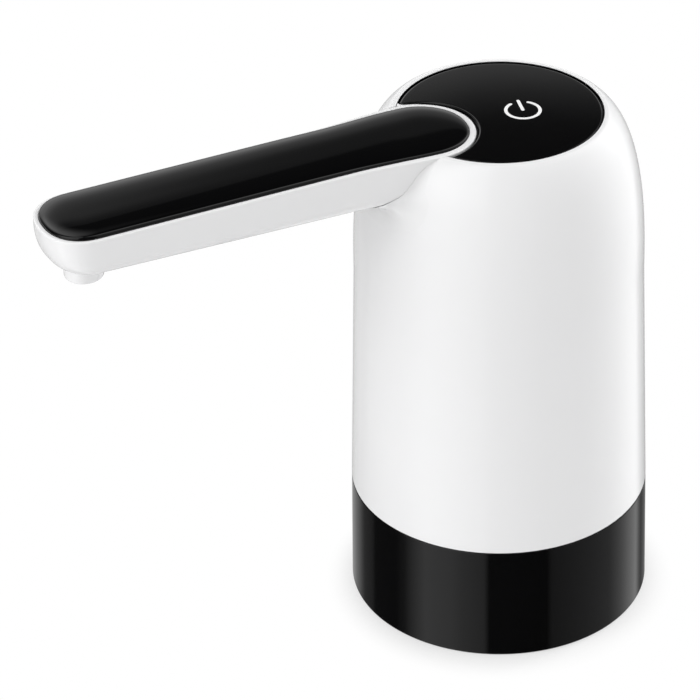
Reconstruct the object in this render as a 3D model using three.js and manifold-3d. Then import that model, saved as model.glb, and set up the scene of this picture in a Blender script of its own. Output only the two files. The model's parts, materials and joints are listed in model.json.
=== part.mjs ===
// Electric water jug pump that sits over the neck of a bottle: millimetres, Z up, spout along -X.
// Heights count from the foot of the collar. The finished group is lowered at the end, so that the
// middle of the face that rests on the bottle neck is the origin.

import * as THREE from 'three';
import { mergeVertices } from 'three/addons/utils/BufferGeometryUtils.js';
import Module from 'manifold-3d';

const wasm = await Module();
wasm.setup();

// Clearances and the length that every cut runs past its piece
const seatGap = 0.1;
const fitGap = 0.3;
const overrun = 3;

// Facets of round pieces
const bodySegments = 32;
const plateSegments = 20;
const middleSegments = 16;
const smallSegments = 10;
const domeSteps = 7;
const ceilingSteps = 4;
const armArcSteps = 5;
const leadSides = 4;
const cornerSegments = 2;
const symbolSegments = 4;

// Body: collar, wall and shoulder, sized outwards and upwards from the bottle neck
const collarFlare = 0.45;
const footEdge = 0.4;
const edgeRoundShare = 0.3;
const seamGap = 0.15;
const wallTaper = 1.65;
const wallHeight = 59.7;
const domeReach = 14.35;
const domeHeight = 42.8;
const domeRadialPower = 2.724;
const domeHeightPower = 2.502;
const lipReach = 5.1;
const lipLand = 0.4;
const lipBevel = 0.3;
const housingWall = 2.2;
const ceilingReach = 10.15;
const spigotWall = 1.5;
const spigotLap = 4.1;
const snapBead = 0.35;
const snapWidth = 1.6;

// Collar and the bottle neck it fits
const skirtWall = 1.2;
const skirtClearance = 1.2;
const collarFloor = 2.2;
const neckRadius = 27.5;
const neckClearance = 0.4;
const neckLeadIn = 1;
const sleeveWall = 2.5;
const neckSeatHeight = 23.4;
const gripFloor = 4.5;
const gripHeight = 10.4;
const gripDepth = 1;
const gripRibs = 2;
const ribWidthShare = 0.25;

// Chassis, its screws and its vents
const chassisThickness = 2.4;
const chassisWall = 1.4;
const socketHeight = 2.2;
const ventRadius = 1.2;
const ventRow = 19;
const screwRadius = 0.9;
const screwHeadRadius = 1.6;
const screwHeadHeight = 1.4;
const chassisScrews = 3;
const chassisScrewLength = 8;
const screwBossWall = 1;
const screwStartAngle = 60;

// Key, light guide, switch and control board
const keyDrop = 1.3;
const keyGap = 0.4;
const keyThickness = 2;
const keyTravel = 0.6;
const keyBiteGap = 0.5;
const shelfThickness = 1.6;
const symbolX = 4.9;
const symbolY = -2.7;
const symbolTurn = -13.5;
const symbolRadius = 4;
const symbolStroke = 1;
const symbolGapAngle = 64;
const symbolBarInner = 0.1;
const symbolBarOuter = 4.6;
const guideRadius = 6.2;
const guideThickness = 1.15;
const guideGap = 0.08;
const windowRadius = 5;
const keyPostRadius = 1.4;
const keyPostInset = 4.4;
const keyPostAngles = [-75, 0, 75];
const keyHookWidth = 0.7;
const keyHookHeight = 1.2;
const plungerX = 14.5;
const plungerRadius = 1.6;
const plungerStroke = 1.5;
const switchWidth = 6;
const switchHeight = 2.6;
const boardThickness = 1.2;
const boardHang = 4;
const boardInset = 4.9;
const boardEdgeX = -2.5;
const boardScrewX = 6;
const boardScrewInset = 5;
const boardScrewLength = 5;
const lampWidth = 2.8;
const lampLength = 3.5;
const lampHeight = 1.9;

// Spout arm
const armLift = 0.25;
const armRearInset = 3.75;
const armRearRadius = 13.2;
const armHalfWidth = 11.6;
const armFlareLength = 22.35;
const armFlareShares = [1 / 3, 2 / 3, 1];
const armSpan = 83.85;
const armTipReach = 10.8;
const armRootDepth = 11.5;
const armTipDepth = 9.65;
const armEdgeRadius = 3;
const armTipClosureShare = 0.86;
const armTipPower = 2.95;
const armPlanPower = 2.27;
const armLevelShares = [1, 0.94, 0.86, 0.74, 0.45, 0];
const armWall = 2.2;
const armFloor = 1.6;
const pocketWall = 1.6;
const rimWidth = 1;
const rimRearWidth = 1.6;
const rimTipWidth = 1.4;
const coverCrown = 1.35;
const coverRearCrown = 0.45;
const coverCrownPower = 4;
const coverSeatDepth = 1.5;
const coverRingShares = [0, 0.06, 0.2, 0.45, 0.75];
const spoutScrewShift = 4.65;
const spoutScrewY = 7;
const spoutScrewLength = 7;
const spoutBossHeight = 5.6;

// Water tube in the arm and its nozzle
const tubeRadius = 2.8;
const tubeBore = 1.9;
const tubeRootShift = 3.35;
const tubeDrop = 4.75;
const tubeBend = 4.2;
const tubeBendSteps = 4;
const tubeTail = 2.1;
const tubeRootDrop = 10.25;
const tubeSides = 8;
const sealSection = 0.6;
const sealSides = 6;
const nozzleShift = 0.7;
const nozzleRadius = 4.6;
const nozzleDrop = 5.7;
const nozzleEdge = 0.8;
const nozzleTop = 1.4;
const straightenerHeight = 1.8;
const straightenerBore = 3.5;
const vaneThickness = 0.5;
const vanes = 3;

// Pump under the motor
const pumpX = -12;
const pumpRadius = 13.5;
const pumpWall = 1.3;
const headHeight = 10.5;
const headFloor = 2;
const inletChamber = 4.6;
const inletRadius = 4;
const inletBore = 2.4;
const inletDepth = 5;
const inletFlangeRadius = 6;
const inletFlange = 1.5;
const inletLength = 13;
const barbs = 2;
const barbStep = 0.5;
const barbPeakShare = 0.6;
const barbBackShare = 0.7;
const outletHeight = 7.2;
const outletRadius = tubeRadius;
const outletBore = 1.6;
const outletLength = 3.6;
const valvePlateHeight = 2.4;
const valveHole = 1.1;
const valveCircle = 7;
const valveSpreadShare = 1.5;
const valveStemRadius = 0.9;
const flapRadius = 3.4;
const flapThickness = 0.5;
const pumpScrewCircle = 11.6;
const diaphragmThickness = 1.4;
const cups = 3;
const cupCircle = 7;
const cupRadius = 3.6;
const cupWall = 0.6;
const cupHeight = 3.8;
const cupStemRadius = 1.1;
const cupStem = 1.2;
const crankcaseHeight = 19;
const crankcaseRoof = 1.5;

// Crank and wobble plate
const crankTilt = 8;
const pivotRise = 3.5;
const crankRadius = 0.8;
const crankLength = 8.6;
const wobbleHub = 2.2;
const wobbleHubStart = 1;
const wobbleHubLength = 4.8;
const wobbleDiscAt = 4;
const wobbleDisc = 8.8;
const wobbleThickness = 1.4;
const wobbleArmWidth = 4;
const hubRadius = 3.8;
const hubHeight = 6.8;
const hubClearance = 0.6;
const shaftEngagement = 3.6;

// Motor
const motorRadius = 12.1;
const motorWall = 0.8;
const noseRadius = 3.1;
const noseLength = 1.4;
const bushRadius = 2.2;
const bushLength = 3.2;
const shaftRadius = 1;
const bellHeight = 2.4;
const bellSpigot = 1.6;
const magnetWall = 1.7;
const magnetOverhang = 1.5;
const magnetAngle = 130;
const airGap = 0.5;
const coreLength = 18;
const coreRise = 4.6;
const poles = 3;
const poleNeck = 3;
const poleShoe = 1.6;
const poleShoeAngle = 96;
const poleHub = 3;
const coilWall = 1.4;
const commutatorRadius = 2.6;
const commutatorLength = 4.4;
const coilEndRoom = 2;
const brushWidth = 1.6;
const brushThickness = 0.8;
const brushLength = 4.4;
const sleeveThickness = 1.3;
const sleeveLength = 22;
const sleeveRise = 4;

// Cell, cradle and charging board
const cellRadius = 9.2;
const cellLength = 65;
const cellEdge = 0.8;
const cellCapRadius = 3.2;
const cellCapHeight = 0.9;
const cradleWall = 1.4;
const cradleOpening = 120;
const cradleHeight = 52;
const clipOpening = 130;
const clipHeight = 12;
const clipRise = 40;
const chargeBoardWidth = 16;
const chargeBoardHeight = 20;
const chargeBoardRise = 5;
const chargeBoardInset = 5.5;
const railDepth = 3;
const railWidth = 3;
const socketWidth = 9;
const socketThickness = 3.2;
const socketShell = 0.35;
const socketSetback = 0.5;
const socketRise = 9;
const tongueWidth = 6.6;
const tongueThickness = 0.7;
const tongueSetback = 1;

// Hose and leads
const hoseWall = 1;
const hoseOverlap = 5;
const hoseSteps = 20;
const hoseRouteShares = [
  [0, 0.676, 0.02],
  [0, 0.732, 0.077],
  [0.042, 0.726, 0.384],
  [0.125, 0.702, 0.726],
  [0.542, 0.432, 0.919],
];
const leadRadius = 0.6;
const leadStepShare = 6;
const motorLeadShares = [[0, 1, 0], [0, 1.1, 0.255], [0.6, 1.4, 0.625], [1, 1.4, 1]];
const motorLeadX = 4;
const motorLeadY = 5;
const motorLeadRun = 10;
const supplyLeadShares = [
  [0, 1, 0],
  [-0.077, 1, 0.129],
  [-0.026, 1, 0.563],
  [0.4, 1, 0.81],
  [0.966, 1.33, 0.911],
  [1, 1.33, 1],
];
const supplyLeadY = 3;
const supplyLeadInset = 2.5;

// Heights and places that follow from the sizes above
const sleeveBore = neckRadius + neckClearance;
const sleeveRadius = sleeveBore + sleeveWall;
const screwBossRadius = screwRadius + seatGap + screwBossWall;
const screwCircle = sleeveRadius + fitGap + screwHeadRadius + seatGap;
const skirtRadius = screwCircle + screwHeadRadius + skirtClearance;
const seamRadius = skirtRadius + skirtWall;
const footRadius = seamRadius + collarFlare;
const spigotRadius = skirtRadius - seatGap;
const spigotBore = spigotRadius - spigotWall;
const chassisTop = neckSeatHeight + chassisThickness;
const spigotFoot = chassisTop + seatGap;
const chassisRadius = skirtRadius - fitGap;
const seamHeight = spigotFoot + spigotLap;
const shoulderRadius = seamRadius - wallTaper;
const shoulderHeight = seamHeight + wallHeight;
const crownRadius = shoulderRadius - domeReach;
const crownHeight = shoulderHeight + domeHeight;
const lipRadius = crownRadius + lipReach;
const recessRadius = lipRadius - lipLand - lipBevel;
const cavityCrownRadius = shoulderRadius - housingWall - ceilingReach;
const keyRadius = recessRadius - keyGap;
const keyHeight = crownHeight - keyDrop;
const keyPostCircle = keyRadius - keyPostInset;
const keyBottom = keyHeight - keyThickness;
const guideBottom = keyBottom - seatGap - guideThickness;
const shelfTop = guideBottom - keyTravel - seatGap;
const shelfBottom = shelfTop - shelfThickness;
const boardRadius = keyRadius - boardInset;
const boardScrewY = boardRadius - boardScrewInset;
const boardTop = shelfBottom - boardHang;
const boardBottom = boardTop - boardThickness;
const switchTop = boardTop + seatGap + switchHeight;
const plungerTop = switchTop + keyTravel + fitGap;
const armRearCentre = keyRadius - armRearInset;
const armFlareEnd = armRearCentre + armFlareLength;
const armTipCentre = armRearCentre + armSpan;
const nozzleX = armTipCentre + nozzleShift;
const spoutScrewX = armRearCentre - spoutScrewShift;
const armTop = keyHeight + armLift;
const armRootBottom = armTop - armRootDepth;
const armTipBottom = armTop - armTipDepth;
const pocketFloor = armRootBottom - fitGap;
const pocketFoot = pocketFloor - pocketWall;
const coverBottom = armTop - coverSeatDepth;
const nozzleFoot = armTipBottom - nozzleDrop;
const nozzleHead = armTipBottom + nozzleTop;
const tubeRootX = armRearCentre + tubeRootShift;
const tubeHeight = armTop - tubeDrop;
const tubeRootHeight = pocketFoot - tubeRootDrop;
const tubeFoot = tubeHeight - tubeBend - tubeTail;
const headBottom = chassisTop + seatGap;
const headTop = headBottom + headHeight;
const outletZ = headBottom + outletHeight;
const valveBottom = headTop + seatGap;
const valveTop = valveBottom + valvePlateHeight;
const diaphragmBottom = valveTop + seatGap;
const diaphragmTop = diaphragmBottom + diaphragmThickness;
const caseBottom = diaphragmTop + seatGap;
const caseTop = caseBottom + crankcaseHeight;
const pivotZ = diaphragmTop + pivotRise;
const hubTop = caseTop - crankcaseRoof - hubClearance;
const hubBottom = hubTop - hubHeight;
const motorBottom = caseTop + seatGap;
const magnetLength = coreLength + 2 * magnetOverhang;
const brushRoom = coilEndRoom + commutatorLength + fitGap + bellSpigot - seatGap;
const motorLength = coreRise + coreLength + brushRoom;
const motorTop = motorBottom + motorLength;
const noseBottom = motorBottom - noseLength;
const bellBottom = motorTop + seatGap;
const bellTop = bellBottom + bellHeight;
const shaftFoot = hubTop - shaftEngagement;
const coreBottom = motorBottom + coreRise;
const coreTop = coreBottom + coreLength;
const facetShare = Math.cos(Math.PI / plateSegments);
const magnetRadius = (motorRadius - motorWall) * facetShare - seatGap;
const coreRadius = magnetRadius - magnetWall - airGap;
const sleeveInner = motorRadius + seatGap;
const sleeveOuter = sleeveInner + sleeveThickness;
const clipInner = sleeveOuter + fitGap;
const clipOuter = clipInner + cradleWall;
const cradleInner = cellRadius + fitGap;
const cradleOuter = cradleInner + cradleWall;
const cellX = pumpX + clipOuter + cradleOuter - cradleWall;
const cradleFoot = chassisTop + seatGap;
const cellBottom = cradleFoot + cradleWall + seatGap;
const cellTop = cellBottom + cellLength;
const chargeBoardX = spigotBore - chargeBoardInset;
const chargeBoardFoot = chassisTop + chargeBoardRise;
const chargeBoardTop = chargeBoardFoot + chargeBoardHeight;
const socketZ = chargeBoardFoot + socketRise;
const hoseInner = (tubeRadius + fitGap) / Math.cos(Math.PI / tubeSides);
const hoseOuter = hoseInner + hoseWall;

// Finishes
const whiteGloss = { color: 0xf4f4f4, roughness: 0.18, metalness: 0 };
const blackGloss = { color: 0x0a0a0b, roughness: 0.08, metalness: 0 };
const greyPlastic = { color: 0xc9ccd0, roughness: 0.45, metalness: 0 };
const darkPlastic = { color: 0x2b2d30, roughness: 0.5, metalness: 0 };
const clearSilicone = { color: 0xdfe3e4, roughness: 0.4, metalness: 0 };
const brightSteel = { color: 0xb9bcc0, roughness: 0.3, metalness: 1 };
const plainSteel = { color: 0x83868a, roughness: 0.45, metalness: 1 };
const brass = { color: 0xc59b4a, roughness: 0.35, metalness: 1 };
const copper = { color: 0xb86b36, roughness: 0.35, metalness: 1 };
const ferrite = { color: 0x3a3a3d, roughness: 0.7, metalness: 0 };
const boardGreen = { color: 0x1d5a38, roughness: 0.45, metalness: 0 };
const cellWrap = { color: 0x2f6fb0, roughness: 0.4, metalness: 0 };
const symbolWhite = { color: 0xffffff, roughness: 0.4, metalness: 0 };
const redLead = { color: 0xb01c1c, roughness: 0.5, metalness: 0 };
const blackLead = { color: 0x161616, roughness: 0.5, metalness: 0 };

const radians = THREE.MathUtils.degToRad;
const mix = THREE.MathUtils.lerp;

// Closed geometry as a solid, with shared corners merged and folded triangles dropped
function solidOf(geometry) {
  geometry.deleteAttribute('normal');
  geometry.deleteAttribute('uv');
  const merged = mergeVertices(geometry);
  const corners = merged.index.array;
  const kept = [];
  for (let i = 0; i < corners.length; i += 3) {
    const [a, b, c] = [corners[i], corners[i + 1], corners[i + 2]];
    if (a !== b && b !== c && c !== a) {
      kept.push(a, b, c);
    }
  }
  const vertProperties = new Float32Array(merged.attributes.position.array);
  const triVerts = new Uint32Array(kept);
  return new wasm.Manifold(new wasm.Mesh({ numProp: 3, vertProperties, triVerts }));
}

function join(first, ...others) {
  return others.reduce((sum, other) => sum.add(other), first);
}

function cut(first, ...others) {
  return others.reduce((rest, other) => rest.subtract(other), first);
}

function piece(name, solid, finish) {
  const { vertProperties, triVerts } = solid.getMesh();
  const geometry = new THREE.BufferGeometry();
  geometry.setAttribute('position', new THREE.BufferAttribute(new Float32Array(vertProperties), 3));
  geometry.setIndex(new THREE.BufferAttribute(new Uint32Array(triVerts), 1));
  geometry.computeVertexNormals();
  const mesh = new THREE.Mesh(geometry, new THREE.MeshStandardMaterial(finish));
  mesh.name = name;
  return mesh;
}

// Turned solid about Z from [radius, height] points, which end on the axis or close on themselves
function turned(points, segments, x = 0, y = 0) {
  const profile = points.map(([radius, height]) => new THREE.Vector2(radius, height));
  if (THREE.ShapeUtils.area(profile) < 0) {
    profile.reverse();
  }
  if (profile[0].x > 0 || profile.at(-1).x > 0) {
    profile.push(profile[0].clone());
  }
  const geometry = new THREE.LatheGeometry(profile, segments);
  return solidOf(geometry.rotateX(Math.PI / 2).translate(x, y, 0));
}

function rod(radius, bottom, top, segments, x = 0, y = 0) {
  return turned([[0, bottom], [radius, bottom], [radius, top], [0, top]], segments, x, y);
}

function pipe(inner, outer, bottom, top, segments, x = 0, y = 0) {
  return turned([[inner, bottom], [outer, bottom], [outer, top], [inner, top]], segments, x, y);
}

function block(x0, x1, y0, y1, z0, z1) {
  const geometry = new THREE.BoxGeometry(x1 - x0, y1 - y0, z1 - z0);
  return solidOf(geometry.translate((x0 + x1) / 2, (y0 + y1) / 2, (z0 + z1) / 2));
}

function plate(shape, bottom, top, x = 0, curveSegments = 1) {
  const settings = { depth: top - bottom, bevelEnabled: false, curveSegments };
  return solidOf(new THREE.ExtrudeGeometry(shape, settings).translate(x, 0, bottom));
}

// Upright wall along part of a ring, between two angles in degrees
function sector(inner, outer, from, to, bottom, top, x = 0) {
  const shape = new THREE.Shape();
  shape.absarc(0, 0, outer, radians(from), radians(to), false);
  shape.absarc(0, 0, inner, radians(to), radians(from), true);
  shape.closePath();
  return plate(shape, bottom, top, x, Math.ceil((to - from) * plateSegments / 720));
}

// Round section carried along a curve, hollow where a bore is given
function along(curve, radius, bore, sides, steps) {
  const shape = new THREE.Shape().absarc(0, 0, radius, 0, 2 * Math.PI, false);
  if (bore > 0) {
    shape.holes.push(new THREE.Path().absarc(0, 0, bore, 0, 2 * Math.PI, true));
  }
  return solidOf(new THREE.ExtrudeGeometry(shape, { steps, curveSegments: sides / 2, extrudePath: curve }));
}

function aroundCircle(count, radius, startDegrees = 0) {
  return Array.from({ length: count }, (_, i) => {
    const angle = radians(startDegrees + (360 * i) / count);
    return [radius * Math.cos(angle), radius * Math.sin(angle)];
  });
}

function screw(name, x, y, seat, length) {
  const head = rod(screwHeadRadius, seat - screwHeadHeight, seat, smallSegments, x, y);
  const shank = rod(screwRadius, seat - screwHeadHeight / 2, seat + length, smallSegments, x, y);
  return piece(name, join(head, shank), brightSteel);
}

// Closed body through rings of equally many points, counter-clockwise seen from above, lowest first
function loft(rings) {
  const count = rings[0].length;
  const index = [];
  for (let level = 0; level + 1 < rings.length; level += 1) {
    for (let i = 0; i < count; i += 1) {
      const a = level * count + i;
      const b = level * count + ((i + 1) % count);
      index.push(a, b, b + count, a, b + count, a + count);
    }
  }
  const flat = (ring) => ring.map((point) => new THREE.Vector2(point.x, point.y));
  for (const [a, b, c] of THREE.ShapeUtils.triangulateShape(flat(rings[0]), [])) {
    index.push(a, c, b);
  }
  const lastRing = (rings.length - 1) * count;
  for (const face of THREE.ShapeUtils.triangulateShape(flat(rings.at(-1)), [])) {
    index.push(...face.map((corner) => corner + lastRing));
  }
  const geometry = new THREE.BufferGeometry().setFromPoints(rings.flat());
  geometry.setIndex(index);
  return solidOf(geometry);
}

// Plan outline of the arm: round rear end, flare, straight sides and a rounded tip towards -X
function armOutline(rearRadius, halfWidth, tipReach) {
  const half = [];
  for (let i = 0; i <= armArcSteps; i += 1) {
    const angle = (i / armArcSteps) * (Math.PI / 2);
    half.push([armRearCentre - rearRadius * Math.cos(angle), rearRadius * Math.sin(angle)]);
  }
  for (const share of armFlareShares) {
    const width = mix(rearRadius, halfWidth, THREE.MathUtils.smoothstep(share, 0, 1));
    half.push([mix(armRearCentre, armFlareEnd, share), width]);
  }
  for (let i = 0; i <= armArcSteps; i += 1) {
    const angle = (i / armArcSteps) * (Math.PI / 2);
    half.push([
      armTipCentre + tipReach * Math.sin(angle) ** (2 / armPlanPower),
      halfWidth * Math.max(0, Math.cos(angle)) ** (2 / armPlanPower),
    ]);
  }
  half[half.length - 1][1] = 0;
  const mirrored = half.slice(1, -1).reverse().map(([u, w]) => [u, -w]);
  return [...half, ...mirrored].map(([u, w]) => new THREE.Vector2(-u, w));
}

// Arm volume, drawn in by an inset on its sides and ends and by another on its underside
function armBody(inset, floorInset, top) {
  const slope = (armRootDepth - armTipDepth) / (armTipCentre - armRearCentre);
  const depthAt = (x) => Math.min(armRootDepth, armTipDepth + slope * (armTipCentre + x));
  const rings = armLevelShares.map((share) => {
    const intoEdge = Math.max(0, armEdgeRadius - (1 - share) * armTipDepth);
    const tuck = armEdgeRadius - Math.sqrt(armEdgeRadius ** 2 - intoEdge ** 2);
    const closure = (1 - (share * armTipClosureShare) ** armTipPower) ** (1 / armTipPower);
    const outline = armOutline(
      armRearRadius - inset - tuck,
      armHalfWidth - inset - tuck,
      (armTipReach - inset) * closure,
    );
    return outline.map(({ x, y }) => new THREE.Vector3(x, y, armTop - share * (depthAt(x) - floorInset)));
  });
  if (top > armTop) {
    rings.push(rings.at(-1).map(({ x, y }) => new THREE.Vector3(x, y, top)));
  }
  return loft(rings);
}

function coverOutline(growth) {
  return armOutline(
    armRearRadius - rimRearWidth + growth,
    armHalfWidth - rimWidth + growth,
    armTipReach - rimTipWidth + growth,
  );
}

// Points of the dome from its side up to the radius where it ends
function domePoints(flatRadius, sideRadius, sideHeight, topHeight, endRadius, steps) {
  const reach = sideRadius - flatRadius;
  const endAngle = Math.acos(((endRadius - flatRadius) / reach) ** (domeRadialPower / 2));
  const points = [];
  for (let i = 0; i <= steps; i += 1) {
    const angle = endAngle * (i / steps);
    const radius = flatRadius + reach * Math.cos(angle) ** (2 / domeRadialPower);
    const height = sideHeight + (topHeight - sideHeight) * Math.sin(angle) ** (2 / domeHeightPower);
    points.push([radius, height]);
  }
  return points;
}

function baseCollar() {
  const sleeveTop = neckSeatHeight - seatGap;
  const beadZ = (spigotFoot + seamHeight) / 2;
  const grooveRadius = skirtRadius + snapBead + seatGap;
  const gripTop = gripFloor + gripHeight;
  return piece('base_collar', turned([
    [sleeveBore + neckLeadIn, 0],
    [footRadius - footEdge, 0],
    [footRadius - footEdge * edgeRoundShare, footEdge * edgeRoundShare],
    [footRadius, footEdge],
    [seamRadius, seamHeight],
    [skirtRadius, seamHeight],
    [skirtRadius, beadZ + snapWidth],
    [grooveRadius, beadZ],
    [skirtRadius, beadZ - snapWidth],
    [skirtRadius, collarFloor],
    [sleeveRadius, collarFloor],
    [sleeveRadius, sleeveTop],
    [sleeveBore, sleeveTop],
    [sleeveBore, gripTop],
    [sleeveBore + gripDepth, gripTop],
    [sleeveBore + gripDepth, gripFloor],
    [sleeveBore, gripFloor],
    [sleeveBore, neckLeadIn],
  ], bodySegments), blackGloss);
}

function neckGripRing() {
  const outer = sleeveBore + gripDepth - seatGap;
  const bottom = gripFloor + seatGap;
  const top = gripFloor + gripHeight - seatGap;
  const pitch = (top - bottom) / gripRibs;
  const ribs = [];
  for (let i = gripRibs; i > 0; i -= 1) {
    const middle = bottom + pitch * (i - 0.5);
    const reach = pitch * ribWidthShare;
    ribs.push([sleeveBore, middle + reach], [neckRadius, middle], [sleeveBore, middle - reach]);
  }
  return piece('neck_grip_ring', turned([
    [sleeveBore, bottom],
    [outer, bottom],
    [outer, top],
    [sleeveBore, top],
    ...ribs,
  ], bodySegments), clearSilicone);
}

function chassis() {
  const posts = [-1, 1].map((side) => {
    const inner = side * (chargeBoardWidth / 2 - railDepth / 2);
    const outer = side * (chargeBoardWidth / 2 + railDepth / 2);
    const [y0, y1] = [Math.min(inner, outer), Math.max(inner, outer)];
    const boardMiddle = chargeBoardX + boardThickness / 2;
    return block(boardMiddle - railWidth / 2, boardMiddle + railWidth / 2, y0, y1,
      chassisTop - chassisThickness / 2, chargeBoardTop - railDepth);
  });
  const boardSlot = block(chargeBoardX - seatGap, chargeBoardX + boardThickness + seatGap,
    -chargeBoardWidth / 2 - seatGap, chargeBoardWidth / 2 + seatGap,
    chargeBoardFoot - seatGap, chargeBoardTop + overrun);
  const pumpSocket = pipe(pumpRadius + fitGap, pumpRadius + fitGap + chassisWall,
    chassisTop - chassisThickness / 2, chassisTop + socketHeight, plateSegments, pumpX);
  const cradleSocket = pipe(cradleOuter + fitGap, cradleOuter + fitGap + chassisWall,
    chassisTop - chassisThickness / 2, chassisTop + socketHeight, plateSegments, cellX);
  const pumpSpace = rod(pumpRadius + fitGap, chassisTop, chassisTop + socketHeight + overrun,
    plateSegments, pumpX);
  const cradleSpace = rod(cradleOuter + fitGap, chassisTop, chassisTop + socketHeight + overrun,
    plateSegments, cellX);
  const screwHoles = aroundCircle(chassisScrews, screwCircle, screwStartAngle).map(([x, y]) => (
    rod(screwRadius + seatGap, neckSeatHeight - overrun, chassisTop + overrun, smallSegments, x, y)));
  const vents = [-ventRow, ventRow].map((y) => (
    rod(ventRadius, neckSeatHeight - overrun, chassisTop + overrun, smallSegments, 0, y)));
  const inletHole = rod(inletRadius + fitGap, neckSeatHeight - overrun, chassisTop + overrun,
    plateSegments, pumpX);
  const disc = rod(chassisRadius, neckSeatHeight, chassisTop, bodySegments);
  return piece('chassis', cut(join(disc, pumpSocket, cradleSocket, ...posts),
    pumpSpace, cradleSpace, boardSlot, inletHole, ...screwHoles, ...vents), greyPlastic);
}

function inletNipple() {
  const flangeTop = neckSeatHeight - seatGap;
  const flangeFoot = flangeTop - inletFlange;
  const top = headBottom + inletDepth - fitGap;
  const pitch = inletLength / barbs;
  const barbRadius = inletRadius - barbStep;
  const outline = [[inletBore, flangeFoot - inletLength]];
  for (let i = 0; i < barbs; i += 1) {
    const foot = flangeFoot - inletLength + pitch * i;
    outline.push([barbRadius, foot], [inletRadius, foot + pitch * barbPeakShare]);
    outline.push([barbRadius, foot + pitch * barbBackShare]);
  }
  outline.push([barbRadius, flangeFoot], [inletFlangeRadius, flangeFoot], [inletFlangeRadius, flangeTop]);
  outline.push([inletRadius, flangeTop], [inletRadius, top], [inletBore, top]);
  return piece('inlet_nipple', turned(outline, middleSegments, pumpX), whiteGloss);
}

function ringSeal(name, innerRadius, middleZ, x) {
  const points = aroundCircle(sealSides, sealSection, 180 / sealSides);
  const section = points.map(([r, z]) => [innerRadius + sealSection + r, middleZ + z]);
  return piece(name, turned(section, middleSegments, x), clearSilicone);
}

function pumpScrewHoles(bottom, top) {
  return aroundCircle(cups, pumpScrewCircle, screwStartAngle).map(([x, y]) => (
    rod(screwRadius + seatGap, bottom, top, smallSegments, pumpX + x, y)));
}

function pumpHead() {
  const chamberFloor = headBottom + headFloor;
  const body = rod(pumpRadius, headBottom, headTop, plateSegments, pumpX);
  const chamber = pipe(inletChamber + pumpWall, pumpScrewCircle - screwRadius - pumpWall,
    outletZ - outletBore, headTop + overrun, plateSegments, pumpX);
  const middle = rod(inletChamber, headBottom + inletDepth, headTop + overrun, plateSegments, pumpX);
  const socket = rod(inletRadius + fitGap, headBottom - overrun, headBottom + inletDepth + overrun,
    plateSegments, pumpX);
  const sealSeat = rod(inletRadius + 2 * sealSection + fitGap, headBottom - overrun,
    headBottom + 2 * sealSection + seatGap, plateSegments, pumpX);
  const screwSeats = aroundCircle(cups, pumpScrewCircle, screwStartAngle).map(([x, y]) => (
    rod(screwHeadRadius + fitGap, headBottom - overrun, chamberFloor, smallSegments, pumpX + x, y)));
  const wideOutlet = sideways(outletRadius, pumpRadius - pumpWall, pumpRadius + outletLength);
  const boredOutlet = sideways(outletBore, inletChamber + 2 * pumpWall, pumpRadius + outletLength + overrun);
  return piece('pump_head', cut(join(body, wideOutlet), chamber, middle, socket, sealSeat, boredOutlet,
    ...screwSeats, ...pumpScrewHoles(headBottom - overrun, headTop + overrun)), darkPlastic);
}

// Round bar along -Y from the pump axis, at the height of the outlet
function sideways(radius, from, to) {
  const geometry = new THREE.CylinderGeometry(radius, radius, to - from, smallSegments);
  geometry.rotateY(Math.PI / smallSegments);
  return solidOf(geometry.translate(pumpX, -(from + to) / 2, outletZ));
}

function pumpScrew(name, [x, y]) {
  const seat = headBottom + headFloor - seatGap;
  return screw(name, pumpX + x, y, seat, caseBottom + headFloor - seat);
}

function valvePlate() {
  const body = rod(pumpRadius, valveBottom, valveTop, plateSegments, pumpX);
  const inletHoles = aroundCircle(cups, valveCircle - valveHole * valveSpreadShare).map(([x, y]) => (
    rod(valveHole, valveBottom - overrun, valveTop + overrun, smallSegments, pumpX + x, y)));
  const outletHoles = aroundCircle(cups, valveCircle + valveHole * valveSpreadShare).map(([x, y]) => (
    rod(valveHole, valveBottom - overrun, valveTop + overrun, smallSegments, pumpX + x, y)));
  const stemHole = rod(valveStemRadius + seatGap, valveBottom - overrun, valveTop + overrun,
    smallSegments, pumpX);
  return piece('valve_plate', cut(body, ...inletHoles, ...outletHoles, stemHole,
    ...pumpScrewHoles(valveBottom - overrun, valveTop + overrun)), whiteGloss);
}

function checkValve() {
  const flapTop = valveBottom - seatGap;
  const flapFoot = flapTop - flapThickness;
  return piece('check_valve', turned([
    [0, flapFoot],
    [flapRadius, flapFoot + flapThickness / 2],
    [flapRadius, flapTop],
    [valveStemRadius, flapTop],
    [valveStemRadius, valveTop],
    [0, valveTop],
  ], middleSegments, pumpX), clearSilicone);
}

function diaphragm() {
  const sheet = rod(pumpRadius, diaphragmBottom, diaphragmTop, plateSegments, pumpX);
  const cupTop = diaphragmTop + cupHeight;
  const places = aroundCircle(cups, cupCircle);
  const bodies = places.flatMap(([x, y]) => [
    rod(cupRadius, diaphragmBottom + diaphragmThickness / 2, cupTop, plateSegments / 2, pumpX + x, y),
    rod(cupStemRadius, cupTop - cupWall / 2, cupTop + cupStem, smallSegments, pumpX + x, y),
  ]);
  const hollows = places.map(([x, y]) => (
    rod(cupRadius - cupWall, diaphragmBottom - overrun, cupTop - cupWall, plateSegments / 2, pumpX + x, y)));
  return piece('diaphragm', cut(join(sheet, ...bodies), ...hollows,
    ...pumpScrewHoles(diaphragmBottom - overrun, diaphragmTop + overrun)), clearSilicone);
}

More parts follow.
